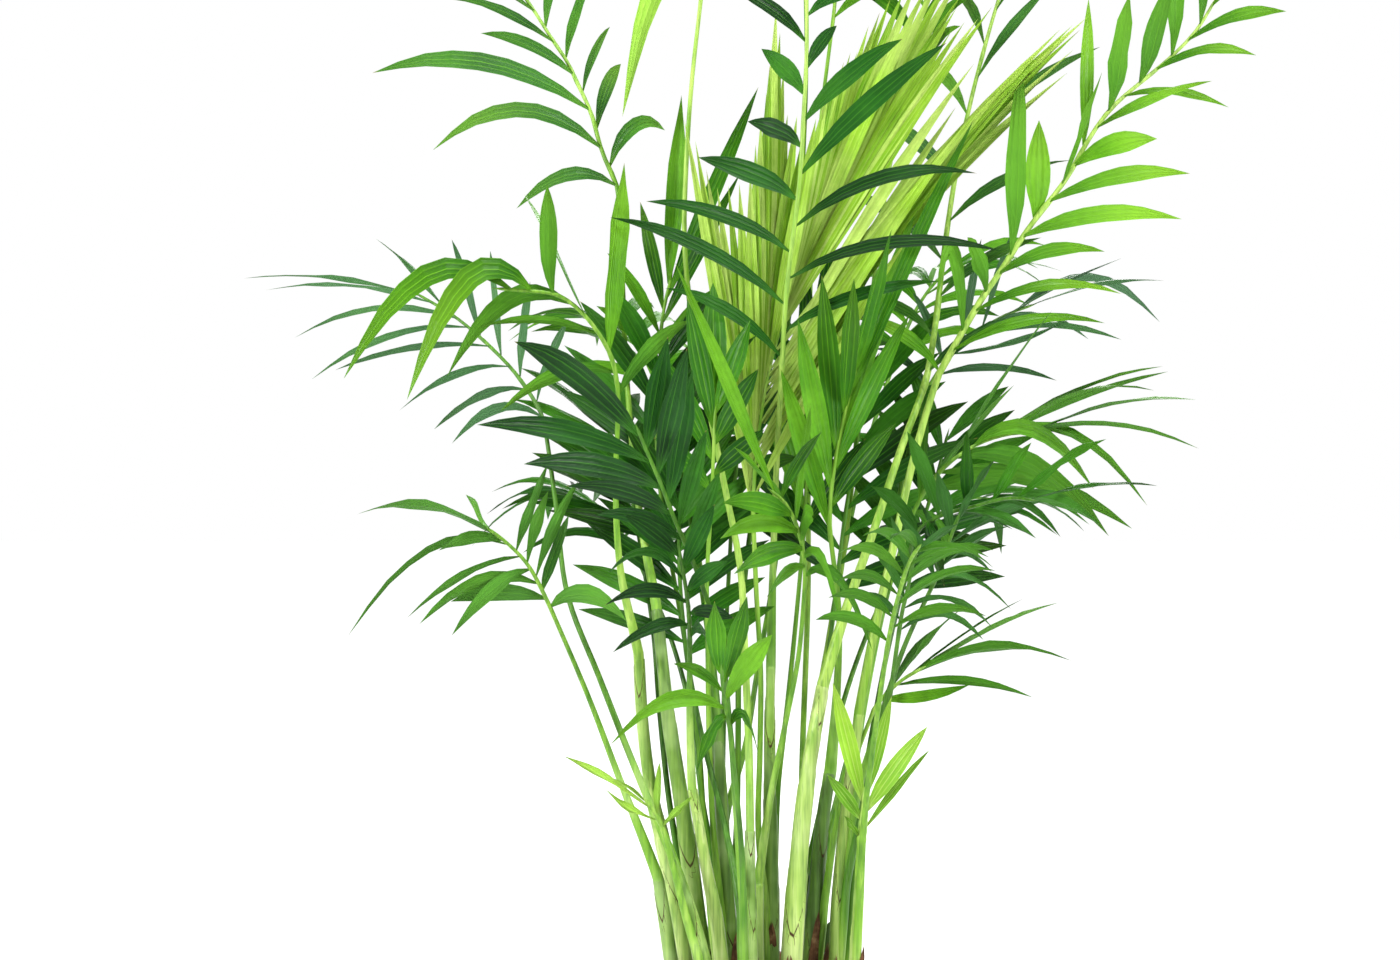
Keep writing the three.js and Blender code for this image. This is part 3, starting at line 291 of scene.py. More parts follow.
stemDetail = {
    "darkFibre": (0.090, 0.190, 0.035),
    "edgeColour": (0.045, 0.015, 0.006),   # dried edge of a sheath
    "edgeWidth": 1.1,                     # mm to each side of the edge
    "bloomColour": (0.480, 0.620, 0.290),  # waxy bloom on the sheaths
}


def stemFinish(name):
    finish, tree, shader, here = startFinish(name + "Skin", 0.36, 0.22)
    long = put(tree, "Mapping")
    long.inputs["Scale"].default_value = (1, 1, 0.045)
    tree.links.new(here, long.inputs["Vector"])
    fibres = noiseOn(tree, long.outputs[0], 520, 3)
    bands = noiseOn(tree, long.outputs[0], 240, 2)
    patches = noiseOn(tree, here, 18, 3)
    tone = maths(tree, "MULTIPLY_ADD", patches, 0.50, attribute(tree, "shade"))
    tone = maths(tree, "MULTIPLY_ADD", bands, 0.80, tone)
    colour = ramp(tree, maths(tree, "SUBTRACT", tone, 0.65), stemGreens[name])
    colour = blend(tree, fade(tree, fibres, 0.46, 0.66, 0.0, 0.50), colour, stemDetail["darkFibre"])
    bloom = maths(tree, "MULTIPLY", fade(tree, patches, 0.45, 0.75), attribute(tree, "bloom"))
    colour = blend(tree, bloom, colour, stemDetail["bloomColour"])
    away = maths(tree, "ABSOLUTE", attribute(tree, "edge"))
    line = fade(tree, away, stemDetail["edgeWidth"] * 0.5, stemDetail["edgeWidth"] * 1.6, 1.0, 0.0)
    colour = blend(tree, maths(tree, "MULTIPLY", line, attribute(tree, "edgeDryness")), colour,
                   stemDetail["edgeColour"])
    tree.links.new(colour, shader.inputs["Base Color"])
    tree.links.new(fade(tree, patches, 0.3, 0.7, 0.30, 0.46), shader.inputs["Roughness"])
    relief = maths(tree, "MULTIPLY_ADD", bands, 0.8, fibres)
    tree.links.new(bumpOn(tree, relief, 0.35, 0.6 * mm), shader.inputs["Normal"])
    return finish


def scaleFinish():
    finish, tree, shader, here = startFinish("dryScale", 0.75, 0.3)
    long = put(tree, "Mapping")
    long.inputs["Scale"].default_value = (1, 1, 0.10)
    tree.links.new(here, long.inputs["Vector"])
    fibres = noiseOn(tree, long.outputs[0], 700, 3)
    cloud = noiseOn(tree, here, 120, 3)
    colour = ramp(tree, cloud, [(0.30, (0.060, 0.024, 0.010)), (0.55, (0.170, 0.080, 0.032)),
                                (0.80, (0.400, 0.270, 0.130))])
    colour = blend(tree, fade(tree, fibres, 0.45, 0.65, 0.0, 0.6), colour, (0.045, 0.018, 0.008))
    tree.links.new(colour, shader.inputs["Base Color"])
    tree.links.new(bumpOn(tree, fibres, 0.7, 0.6 * mm), shader.inputs["Normal"])
    return finish


def potFinish():
    finish, tree, shader, here = startFinish("potPlastic", 0.42, 0.5)
    cloud = noiseOn(tree, here, 9, 4)
    speck = noiseOn(tree, here, 900, 2)
    colour = ramp(tree, cloud, [(0.30, (0.150, 0.036, 0.016)), (0.70, (0.215, 0.056, 0.025))])
    colour = blend(tree, fade(tree, speck, 0.60, 0.75, 0.0, 0.25), colour, (0.30, 0.11, 0.06))
    dust = fade(tree, noiseOn(tree, here, 60, 5, 0.7), 0.52, 0.75, 0.0, 0.18)
    colour = blend(tree, dust, colour, (0.42, 0.30, 0.22))
    tree.links.new(colour, shader.inputs["Base Color"])
    tree.links.new(fade(tree, cloud, 0.3, 0.7, 0.36, 0.50), shader.inputs["Roughness"])
    tree.links.new(bumpOn(tree, speck, 0.12, 0.2 * mm), shader.inputs["Normal"])
    return finish


def soilFinish():
    finish, tree, shader, here = startFinish("peatSoil", 0.95, 0.25)
    lumps = noiseOn(tree, here, 180, 6, 0.7)
    fine = noiseOn(tree, here, 900, 4, 0.7)
    colour = ramp(tree, lumps, [(0.30, (0.012, 0.007, 0.004)), (0.55, (0.045, 0.026, 0.014)),
                                (0.80, (0.120, 0.075, 0.040))])
    colour = blend(tree, fade(tree, fine, 0.60, 0.72, 0.0, 0.5), colour, (0.17, 0.11, 0.06))
    tree.links.new(colour, shader.inputs["Base Color"])
    relief = maths(tree, "MULTIPLY_ADD", fine, 0.5, lumps)
    tree.links.new(bumpOn(tree, relief, 0.8, 2 * mm), shader.inputs["Normal"])
    return finish


finishes = {slot: leafFinish(slot) for slot in leafGreens}
finishes.update({name: stemFinish(name) for name in stemGreens})
finishes["dryScale"] = scaleFinish()
finishes["pot_plastic"] = potFinish()
finishes["potting_soil"] = soilFinish()
print("finishes ready")


# Hand tools

def clearSelection():
    bpy.ops.object.select_all(action="DESELECT")


def pick(piece):
    clearSelection()
    piece.select_set(True)
    bpy.context.view_layer.objects.active = piece


def newPiece(name, points, faces, edges=()):
    mesh = bpy.data.meshes.new(name)
    mesh.from_pydata(points, edges, faces)
    piece = bpy.data.objects.new(name, mesh)
    bpy.context.collection.objects.link(piece)
    return piece


def turnOutwards():  # normals of the mesh that is being edited
    bpy.ops.mesh.select_all(action="SELECT")
    bpy.ops.mesh.normals_make_consistent(inside=False)


def shapeOf(piece):
    spots = np.array([v.co for v in piece.data.vertices])
    faces = [list(p.vertices) for p in piece.data.polygons]
    return spots, faces


def finishPiece(piece, finish, slot, *nodes):
    piece.data.materials.clear()
    piece.data.materials.append(finishes[finish])
    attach(piece, "root")
    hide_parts(*nodes)


def smooth(piece, degrees):  # edges sharper than this stay sharp
    pick(piece)
    bpy.ops.object.shade_smooth_by_angle(angle=math.radians(degrees))


def curveThrough(knots, points, at):  # smooth path through points at the given knots
    knots, points, at = np.array(knots, float), np.array(points, float), np.array(at, float)
    slopes = np.empty_like(points)
    slopes[1:-1] = (points[2:] - points[:-2]) / (knots[2:] - knots[:-2])[:, None]
    slopes[0] = (points[1] - points[0]) / (knots[1] - knots[0])
    slopes[-1] = (points[-1] - points[-2]) / (knots[-1] - knots[-2])
    k = np.clip(np.searchsorted(knots, at) - 1, 0, len(knots) - 2)
    gap = (knots[k + 1] - knots[k])[:, None]
    s = ((at - knots[k])[:, None] / gap).clip(0, 1)
    return (points[k] * (1 + 2 * s) * (1 - s) ** 2 + slopes[k] * gap * s * (1 - s) ** 2
            + points[k + 1] * s ** 2 * (3 - 2 * s) + slopes[k + 1] * gap * s ** 2 * (s - 1))


def unit(rows):
    return rows / np.maximum(np.linalg.norm(rows, axis=-1, keepdims=True), 1e-12)


def turningFrames(path, firstSide):  # two axes across the path that never twist
    along = unit(np.gradient(path, axis=0))
    side = np.empty_like(path)
    side[0] = unit(firstSide - along[0] * (firstSide @ along[0]))
    for i in range(1, len(path)):
        side[i] = unit(side[i - 1] - along[i] * (side[i - 1] @ along[i]))
    return along, side, np.cross(along, side)


def readWires(name):  # corners of a CAD node and which corners each one meets
    mesh = bmesh.new()
    mesh.from_mesh(palmNodes[name].data)
    bmesh.ops.remove_doubles(mesh, verts=mesh.verts, dist=2e-6)
    mesh.verts.index_update()
    corners = np.array([v.co for v in mesh.verts])
    meets = [{e.other_vert(v).index for e in v.link_edges} for v in mesh.verts]
    mesh.free()
    return corners, meets


def readTube(corners, meets, skip=frozenset()):  # centre and radius of each ring, from the foot up
    walls = [i for i in range(len(corners)) if i not in skip]
    foot = min(walls, key=lambda i: corners[i][2])
    seen, ring, rings = {foot}, {foot}, []
    while ring:
        rings.append(sorted(ring))
        ring = {j for i in ring for j in meets[i]} - seen - skip
        seen |= ring
    centres = np.array([corners[r].mean(axis=0) for r in rings])
    radii = np.array([np.linalg.norm(corners[r] - c, axis=1).mean() for r, c in zip(rings, centres)])
    return centres, radii


# A leaflet is a three-sided spike: three rings of three corners between its
# foot and its tip, the blunt corner of each being the keel underneath.
def readLeaf(name):
    corners, meets = readWires(name)
    leaflets, skip = [], set()
    for tip in (i for i, near in enumerate(meets) if len(near) == 3):
        rings, seen, ring = [], {tip}, {tip}
        for _ in range(4):
            ring = {j for i in ring for j in meets[i]} - seen
            seen |= ring
            rings.append(sorted(ring))
        skip |= seen - set(rings[3])
        centres, faces, widths = [], [], []
        for three in (rings[2], rings[1], rings[0]):
            apart = {i: sum(np.linalg.norm(corners[i] - corners[j]) for j in three) for i in three}
            a, b, c = sorted(three, key=lambda i: -apart[i])
            edge = (corners[a] + corners[b]) / 2
            centres.append(edge)
            faces.append(edge - corners[c])
            widths.append(np.linalg.norm(corners[a] - corners[b]))
        foot = corners[rings[3]].mean(axis=0)
        path = [foot, *centres, corners[tip]]
        leaflets.append({"path": path, "faces": unit(np.array(faces)), "width": widths[1]})
    centres, radii = readTube(corners, meets, skip)
    return leaflets, centres, radii


# Leaflets: one blade is modelled, the rest are copies of it

blade = {
    "rows": 8,             # faces along the blade
    "columns": 4,          # faces across it
    # share of the full width along the blade
    "outline": [(0, 0.14), (0.06, 0.32), (0.14, 0.62), (0.26, 0.90), (0.40, 1.04), (0.54, 1.04),
                (0.68, 0.88), (0.81, 0.58), (0.92, 0.27), (1, 0.0)],
    "thick": 0.5 * mm,
    "fold": (0.05, 0.42),  # rise of the edges over the midrib, per half width: least and most
    "rib": 0.7 * mm,       # ridge halfway between midrib and edge
    "ripple": 1.5 * mm,    # wave of the edges
    "waves": (1.0, 2.4),   # how many along a blade
    "twist": 30,           # most a leaflet turns along its length, in degrees
    "straight": 0.2,       # where along it there is no twist
    "nod": 0.035,          # how far its tip hangs, per length
    "knots": [0, 0.18, 0.46, 0.76, 1],   # where the CAD leaflet's foot, rings and tip lie along it
}

# How single leaves differ: shade, lime tips, and a pale grey-green that is bloom on the fine leaves and
# painted sheen on others.
leafLooks = {
    "leaf_centre": (-0.40, 0.0, 0.06),
    "leaf_right": (0.25, 0.50, 0.0),
    "leaf_left_broad": (0.20, 0.45, 0.0),
    "leaf_top_left": (-0.25, 0.25, 0.25),
    "leaf_far_left": (0.10, 0.05, 0.85),
    "leaf_right_fine": (0.10, 0.0, 0.90),
    "leaf_right_wiry": (0.0, 0.1, 0.45),
    "leaf_right_slim": (0.0, 0.0, 0.35),
    "leaf_right_spray": (-0.05, 0.20, 0.10),
    "leaf_left_low": (-0.05, 0.10, 0.30),
    "leaf_front_left": (-0.20, 0.0, 0.10),
    "leaf_left_under": (-0.25, 0.0, 0.08),
    "leaf_centre_broad": (-0.40, 0.0, 0.0),
    "leaf_centre_blades": (-0.15, 0.10, 0.0),
    "leaf_centre_deep": (-0.35, 0.0, 0.0),
    "leaf_upright_left": (-0.10, 0.1, 0.0),
    "leaf_hanging": (0.20, 0.15, 0.0),
    "leaf_front_small": (0.20, 0.10, 0.0),
    "leaf_right_inner": (-0.10, 0.15, 0.30),
    "leaf_young_fan": (0.15, 0.0, 0.0),
    "leaf_tall_left": (-0.10, 0.0, 0.0),
    "leaf_low_young": (-0.75, 0.0, 0.10),
}


def makeMasterBlade():
    clearSelection()
    bpy.ops.mesh.primitive_grid_add(x_subdivisions=blade["columns"], y_subdivisions=blade["rows"], size=2)
    master = bpy.context.object
    master.name = "masterBlade"
    bpy.ops.object.mode_set(mode="EDIT")
    bpy.ops.mesh.select_all(action="SELECT")
    bpy.ops.transform.resize(value=(0.5, 0.5, 1))
    bpy.ops.transform.translate(value=(0, 0.5, 0))       # x runs across, y from the foot to the tip
    bpy.ops.mesh.duplicate()                             # the copy becomes the underside
    bpy.ops.mesh.flip_normals()
    bpy.ops.transform.translate(value=(0, 0, -1))
    bpy.ops.object.mode_set(mode="OBJECT")
    mesh = bmesh.new()
    mesh.from_mesh(master.data)
    for v in mesh.verts:
        rim = abs(abs(v.co.x) - 0.5) < 1e-4 or v.co.y < 1e-4 or v.co.y > 1 - 1e-4
        if rim:
            v.co.z = 0
        if v.co.y > 1 - 1e-4:
            v.co.x = 0
    bmesh.ops.remove_doubles(mesh, verts=mesh.verts, dist=1e-5)
    mesh.to_mesh(master.data)
    mesh.free()
    return master


def bendBlade(spots, leaflet, seed):  # the master's points laid along one leaflet
    rng = random.Random(seed)
    share = np.interp(spots[:, 1], *zip(*blade["outline"]))
    v = spots[:, 1]
    half = leaflet["width"] / 2 * share
    u = spots[:, 0] * 2
    centre = curveThrough(blade["knots"], leaflet["path"], v)
    step = 0.02
    ahead = curveThrough(blade["knots"], leaflet["path"], (v + step).clip(0, 1))
    behind = curveThrough(blade["knots"], leaflet["path"], (v - step).clip(0, 1))
    along = unit(ahead - behind)
    face = np.stack([np.interp(v, blade["knots"][1:4], leaflet["faces"][:, k]) for k in range(3)], axis=1)
    face = unit(face - along * (face * along).sum(axis=1, keepdims=True))
    side = np.cross(along, face)
    twist = math.radians(rng.uniform(-1, 1) * blade["twist"])
    angle = (twist * (v - blade["straight"]))[:, None]
    side, face = side * np.cos(angle) + face * np.sin(angle), face * np.cos(angle) - side * np.sin(angle)
    waves, phase = rng.uniform(*blade["waves"]), rng.uniform(0, fullTurn)
    fold = leaflet.get("fold", rng.uniform(*blade["fold"])) * (1 + 0.5 * (1 - v) ** 2)
    ripple = blade["ripple"] * rng.uniform(0.3, 1.0)
    lift = half * (np.abs(u) - 0.5) * fold
    lift += blade["rib"] * (1 - np.abs(np.abs(u) * 2 - 1)) * share
    lift += ripple * np.abs(u) * share * np.sin(waves * fullTurn * v + phase + 1.3 * np.sign(u))
    lift += spots[:, 2] * blade["thick"] * (0.4 + 0.6 * share)
    length = np.linalg.norm(np.subtract(leaflet["path"][-1], leaflet["path"][0]))
    nod = blade["nod"] * rng.uniform(0.2, 1.4) * length * v ** 3
    return centre + side * (u * half)[:, None] + face * lift[:, None] - np.outer(nod, (0, 0, 1))


def growBlades(name, leaflets, spots, faces):
    leafShade, lime, bloomAndSheen = leafLooks.get(name, (0, 0.05, 0))
    count = len(leaflets)
    points, polygons, looks = [], [], {"shade": [], "dryness": [], "lime": [], "bloomAndSheen": []}
    for k, leaflet in enumerate(leaflets):
        polygons += [[k * len(spots) + i for i in face] for face in faces]
        points.append(bendBlade(spots, leaflet, f"{name}{k}"))
        values = (leafShade + dice.uniform(-0.6, 0.6), dice.choice((0, 0, 0, 0.5, 0.9)),
                  lime * dice.uniform(0.2, 1.6), bloomAndSheen * dice.uniform(0.6, 1.2))
        for row, value in zip(looks.values(), values):
            row += [value] * len(spots)
    piece = newPiece("blades_" + name, np.concatenate(points).tolist(), polygons)
    mesh = piece.data
    for label, values in looks.items():
        mesh.attributes.new(label, "FLOAT", "POINT").data.foreach_set("value", values)
    below = np.tile([float(spots[f, 2].mean() < -0.1) for f in faces], count)
    mesh.attributes.new("below", "FLOAT", "FACE").data.foreach_set("value", below)
    spread = np.tile(np.column_stack([spots[:, 0] + 0.5, spots[:, 1]]), (count, 1))
    corners = np.empty(len(mesh.loops), int)
    mesh.loops.foreach_get("vertex_index", corners)
    mesh.uv_layers.new(name="bladeMap").data.foreach_set("uv", spread[corners].ravel())
    smooth(piece, 75)
    return piece


# The leaf that is still opening: between two neighbouring strips lie more of
# them, all deeply folded.
fan = {
    "leaf": "leaf_young_fan",
    "between": 2,          # strips between two neighbours
    "fold": 0.5,
    "reach": 150 * mm,     # neighbours' tips lie closer than this
}


def fillFan(leaflets):
    middle = np.mean([l["path"][0] for l in leaflets], axis=0)

    def heading(leaflet):
        tip = leaflet["path"][-1]
        return math.atan2(tip[0] - middle[0], tip[2] - middle[2])

    ordered = sorted(leaflets, key=heading)
    strips = []
    for low, high in zip(ordered, ordered[1:]):
        steps = fan["between"] + 1
        near = np.linalg.norm(np.subtract(low["path"][-1], high["path"][-1])) < fan["reach"]
        for k in range(steps if near else 1):
            t = k / steps
            path = [np.asarray(a) * (1 - t) + np.asarray(b) * t for a, b in zip(low["path"], high["path"])]
            faces = unit(low["faces"] * (1 - t) + high["faces"] * t)
            width = low["width"] * (1 - t) + high["width"] * t
            strips.append({"path": path, "faces": faces, "width": width, "fold": fan["fold"]})
    return strips + [{**ordered[-1], "fold": fan["fold"]}]


# Rods: leaf stalks and canes are copies of one rod each, bent along the CAD's rings

def makeMasterRod(name, sides, rings):
    clearSelection()
    bpy.ops.mesh.primitive_cylinder_add(vertices=sides, radius=1, depth=1, location=(0, 0, 0.5))
    rod = bpy.context.object
    rod.name = name
    bpy.ops.object.mode_set(mode="EDIT")
    bpy.ops.mesh.select_mode(type="EDGE")
    bpy.ops.mesh.select_all(action="DESELECT")
    bpy.ops.object.mode_set(mode="OBJECT")
    for edge in rod.data.edges:            # the upright ones
        low, high = (rod.data.vertices[i].co for i in edge.vertices)
        edge.select = abs(low.z - high.z) > 0.5
    bpy.ops.object.mode_set(mode="EDIT")
    bpy.ops.mesh.subdivide(number_cuts=rings - 1)
    bpy.ops.object.mode_set(mode="OBJECT")
    bpy.ops.object.transform_apply(location=True)
    return rod


def rodShape(rod):
    spots, faces = shapeOf(rod)
    return spots, faces, np.arctan2(spots[:, 1], spots[:, 0])


def pointAt(path, knots, where):
    return np.array([np.interp(where, knots, path[:, k]) for k in range(3)])


def lengthsAlong(path):
    return np.concatenate([[0], np.cumsum(np.linalg.norm(np.diff(path, axis=0), axis=1))])


def bendRod(rod, path, radiusAt, name):  # a turn of 0 faces the front
    spots, faces, turn = rod
    reach = lengthsAlong(path)
    levels, level = np.unique(spots[:, 2].round(6), return_inverse=True)
    spine = curveThrough(reach / reach[-1], path, levels)
    along, side, up = turningFrames(spine, np.array([0.0, -1.0, 0.0]))
    radius = radiusAt(spots[:, 2], turn, spots[:, 2] * reach[-1])[:, None]
    around = side[level] * np.cos(turn)[:, None] + up[level] * np.sin(turn)[:, None]
    return newPiece(name, (spine[level] + around * radius).tolist(), faces)


def addAttribute(piece, label, values):
    piece.data.attributes.new(label, "FLOAT", "POINT").data.foreach_set("value", values.tolist())


# Leaf stalks

stalk = {
    "sides": 8,
    "rings": 52,
    # A stalk that leaves a cane's side starts inside its sheath. Depth below
    # the foot: how far off the cane's middle it lies, share of its full offset.
    "sheath": [(88 * mm, 0.20), (58 * mm, 0.55), (28 * mm, 0.88)],
    "sheathWide": [0.9, 1.25, 1.35],       # its radius there, against the stalk's
    "footWide": 1.25,                      # and where it comes out
    "overFoot": 8 * mm,                    # it starts at least this far over the cane's foot
    "sideBlend": 60 * mm,                  # its colour is half the cane's this far along
    # A stalk with its foot nearer than this to the cane's end goes on from it.
    "atEnd": 5 * mm,
    "endSheath": (30 * mm, 12 * mm, 1 * mm),   # its points inside the cane, from the end down
    "joinLength": 55 * mm,                 # it narrows over this
    "endBlend": 70 * mm,                   # its colour is half the cane's this far past the end
    "blendLength": 22 * mm,
    "knuckle": 0.16,                       # swelling where a leaflet leaves
    "knuckleLength": 2.5 * mm,
    "flat": 0.12,                          # how much thinner it is from front to back
    "tip": 0.45,                           # its last ring, against the CAD's
    "bloom": 0.35,                         # at its foot
    # from dark green to cream: by the leaf's slot, then the pale ones by name
    "tones": {"leaf_young": 0.72, "leaf_mid": 0.50, "leaf_dark": 0.28},
    "paleOnes": {"leaf_centre": 0.86, "leaf_right": 0.92, "leaf_tall_left": 0.84, "leaf_top_left": 0.62,
                 "leaf_right_inner": 0.80, "leaf_top_right": 0.75},
}
noEdge = 9.0               # mm, the distance given where no sheath edge is near


# A stalk's path and widths, how far along it is half the cane's colour, and
# that colour's tone.
def stalkRoute(centres, radii, canes):
    foot = centres[1]
    host = min(canes, key=lambda c: np.linalg.norm(c["path"] - centres[0], axis=1).min())
    beside = int(np.linalg.norm(host["path"] - foot, axis=1).argmin())
    gone = lengthsAlong(host["path"])
    if gone[-1] - gone[beside] < stalk["atEnd"]:
        top = host["radius"][-1]
        below = [pointAt(host["path"], gone, gone[-1] - back) for back in stalk["endSheath"]]
        path = np.vstack([below, centres[2:]])
        reach = lengthsAlong(path)
        grown = np.exp(-((reach[3:] - reach[2]) / stalk["joinLength"]) ** 2)
        beyond = radii[2:] + (top * 0.98 - radii[2:]).clip(0) * grown
        widths = np.concatenate([[top * 0.80, top, top], beyond])
        return path, widths, reach[2] + stalk["endBlend"], host["tone"]
    offset = foot - host["path"][beside]
    path, widths = [], []
    for (depth, share), wide in zip(stalk["sheath"], stalk["sheathWide"]):
        if gone[beside] > depth + stalk["overFoot"]:
            path.append(pointAt(host["path"], gone, gone[beside] - depth) + offset * share)
            widths.append(radii[1] * wide)
    path = np.vstack([*path, centres[1:]])
    widths = np.concatenate([widths, [radii[1] * stalk["footWide"]], radii[2:]])
    return path, widths, stalk["sideBlend"], host["tone"]


def growStalk(name, rod, centres, radii, leaflets, canes):
    path, widths, blendAt, caneTone = stalkRoute(centres, radii, canes)
    widths[-1] *= stalk["tip"]
    knots = lengthsAlong(path)
    leaveAt = np.array([knots[np.linalg.norm(path - l["path"][0], axis=1).argmin()] for l in leaflets])

    def radiusAt(t, turn, reach):
        radius = np.interp(reach, knots, widths)
        flat = 1 - stalk["flat"] * np.cos(turn) ** 2
        away = np.abs(reach[:, None] - leaveAt[None, :]).min(axis=1)
        near = np.exp(-(away / stalk["knuckleLength"]) ** 2)
        tip = np.where((t > 0.999) | (t < 0.001), 0.35, 1.0)
        return radius * flat * (1 + stalk["knuckle"] * near) * tip

    piece = bendRod(rod, path, radiusAt, "stalk_" + name)
    level = rod[0][:, 2]
    usual = stalk["tones"][subparts[name]["material_slot"]] + dice.uniform(-0.18, 0.18)
    tone = stalk["paleOnes"].get(name, usual)
    join = 1 / (1 + np.exp((level * knots[-1] - blendAt) / stalk["blendLength"]))
    addAttribute(piece, "shade", tone * (1 - join) + (caneTone + 0.1) * join + 0.06 * np.sin(level * 9))
    addAttribute(piece, "edge", np.full(len(level), noEdge))
    addAttribute(piece, "edgeDryness", np.zeros(len(level)))
    addAttribute(piece, "bloom", stalk["bloom"] * join)
    smooth(piece, 50)
    return piece


# Canes, with the sheaths of old leaves round them

cane = {
    "sides": 16,
    "rings": 110,
    "sheathThick": 0.8 * mm,
    "sheathSpacing": 70 * mm,
    "rise": (55 * mm, 110 * mm),  # how far an edge climbs from its front to its back
    "visible": 34 * mm,           # the edge is dry and brown up to here
    "firstEdge": (60 * mm, 112 * mm),
    "bareTop": 14 * mm,
    "edgeStep": 0.7 * mm,         # the sheath's thickness fades out over this
    "edgeReach": 7 * mm,          # the dry colour stays this near to the edge
    # the tone of each cane, from deep olive to cream
    "tones": (0.46, 0.72, 0.56, 0.59, 0.73, 0.27, 0.48, 0.54, 0.59, 0.38, 0.80, 0.40,
              0.64, 0.38, 0.70, 0.08, 0.35, 0.35),
}


def growCane(name, rod, path, radii, number):
    rng = random.Random(name)
    knots = lengthsAlong(path)
    total = knots[-1]
    widths = np.concatenate([[radii[1] * 0.6], radii[1:-1], [radii[-2] * 0.55]])
    edges, place = [], rng.uniform(*cane["firstEdge"])
    while place < total - cane["bareTop"]:
        front = rng.uniform(-0.6, 0.6) + math.pi * (rng.random() < 0.2)
        rise, strength = rng.uniform(*cane["rise"]), rng.uniform(0.85, 1.0)
        edges.append((place, front, rise, strength, rng.uniform(-0.16, 0.16)))
        place += cane["sheathSpacing"] * rng.uniform(0.7, 1.6)
    spots, _, turn = rod
    level, reach = spots[:, 2], spots[:, 2] * total
    nearest, dryness = np.full(len(reach), noEdge), np.zeros(len(reach))
    tone = np.full(len(reach), cane["tones"][number]) + 0.10 * (0.5 - level)
    swollen = np.zeros(len(reach))
    for place, front, rise, strength, change in edges:
        off = np.abs(np.angle(np.exp(1j * (turn - front)))) / math.pi
        climb = rise * off ** 1.3
        away = reach - place - climb
        swollen += cane["sheathThick"] / (1 + np.exp(np.clip(away / cane["edgeStep"], -30, 30)))
        close = np.abs(away / mm) < np.abs(nearest)
        nearest = np.where(close, away / mm, nearest)
        dry = strength * (np.abs(away) < cane["edgeReach"]) * np.exp(-(climb / cane["visible"]) ** 2)
        dryness = np.where(close, dry, dryness)
        tone += np.where(away > 0, change, 0)

    def radiusAt(t, turn, reach):
        return np.interp(reach, knots, widths) + swollen - cane["sheathThick"] / 2

    piece = bendRod(rod, path, radiusAt, name + "_skin")
    addAttribute(piece, "shade", tone)
    addAttribute(piece, "edge", nearest)
    addAttribute(piece, "edgeDryness", dryness)
    addAttribute(piece, "bloom", np.full(len(reach), rng.uniform(0.0, 0.6)))
    smooth(piece, 50)
    return piece


caneRod = makeMasterRod("masterCane", cane["sides"], cane["rings"])
stalkRod = makeMasterRod("masterStalk", stalk["sides"], stalk["rings"])
masterBlade = makeMasterBlade()
caneShape, stalkShape = rodShape(caneRod), rodShape(stalkRod)
bladeSpots, bladeFaces = shapeOf(masterBlade)
for master in (caneRod, stalkRod, masterBlade):
    bpy.data.objects.remove(master, do_unlink=True)

canes = []
for number, name in enumerate(sorted(n for n in palmNodes if n.startswith("cane_"))):
    centres, radii = readTube(*readWires(name))
    steps = np.linspace(0, len(centres) - 1, len(centres) * 12)
    route = curveThrough(range(len(centres)), centres, steps)
    radius = np.interp(steps, range(1, len(radii) - 1), radii[1:-1])
    canes.append({"path": route, "radius": radius, "tone": cane["tones"][number]})
    finishPiece(growCane(name, caneShape, centres, radii, number), "cane_green", "cane_green", name)
print("canes grown:", len(canes))


# Dry scales: the brown papery ends of the oldest sheaths, peeling at the foot of the canes

scale = {
    "columns": 5,
    "rows": 7,
    "wrap": 62,            # how far round the cane a scale reaches to each side, in degrees
    "thick": 0.35 * mm,
    # cane: height of the scale's foot over the soil, its length, its heading and how far it peels off
    "places": [(3, 18, 34, -80, 3.0), (6, 8, 42, -60, 2.4), (9, 4, 46, -110, 2.0),
               (10, 26, 30, -95, 3.4), (11, 6, 38, -100, 4.6), (12, 12, 52, -70, 2.2),
               (13, 0, 40, -90, 3.8), (14, 10, 36, -120, 3.0), (15, 2, 48, -75, 4.2),
               (16, 0, 44, -90, 3.2), (1, 2, 34, -60, 2.6), (17, 6, 40, 80, 3.0),
               (18, 8, 44, 100, 3.4), (7, 4, 40, -100, 2.4), (4, 6, 30, -110, 3.2)],
}


def makeMasterScale():  # a pointed sheet with two sides, x across, y up
    clearSelection()
    bpy.ops.mesh.primitive_grid_add(x_subdivisions=scale["columns"], y_subdivisions=scale["rows"], size=2)
    sheet = bpy.context.object
    bpy.ops.object.mode_set(mode="EDIT")
    bpy.ops.mesh.select_all(action="SELECT")
    bpy.ops.transform.translate(value=(0, 1, 0))
    bpy.ops.transform.resize(value=(1, 0.5, 1), center_override=(0, 0, 0))
    bpy.ops.object.mode_set(mode="OBJECT")
    shell = sheet.modifiers.new("sheetThickness", "SOLIDIFY")
    shell.thickness, shell.offset = 1, 0
    bpy.ops.object.modifier_apply(modifier=shell.name)
    spots, faces = shapeOf(sheet)
    bpy.data.objects.remove(sheet, do_unlink=True)
    return spots, faces


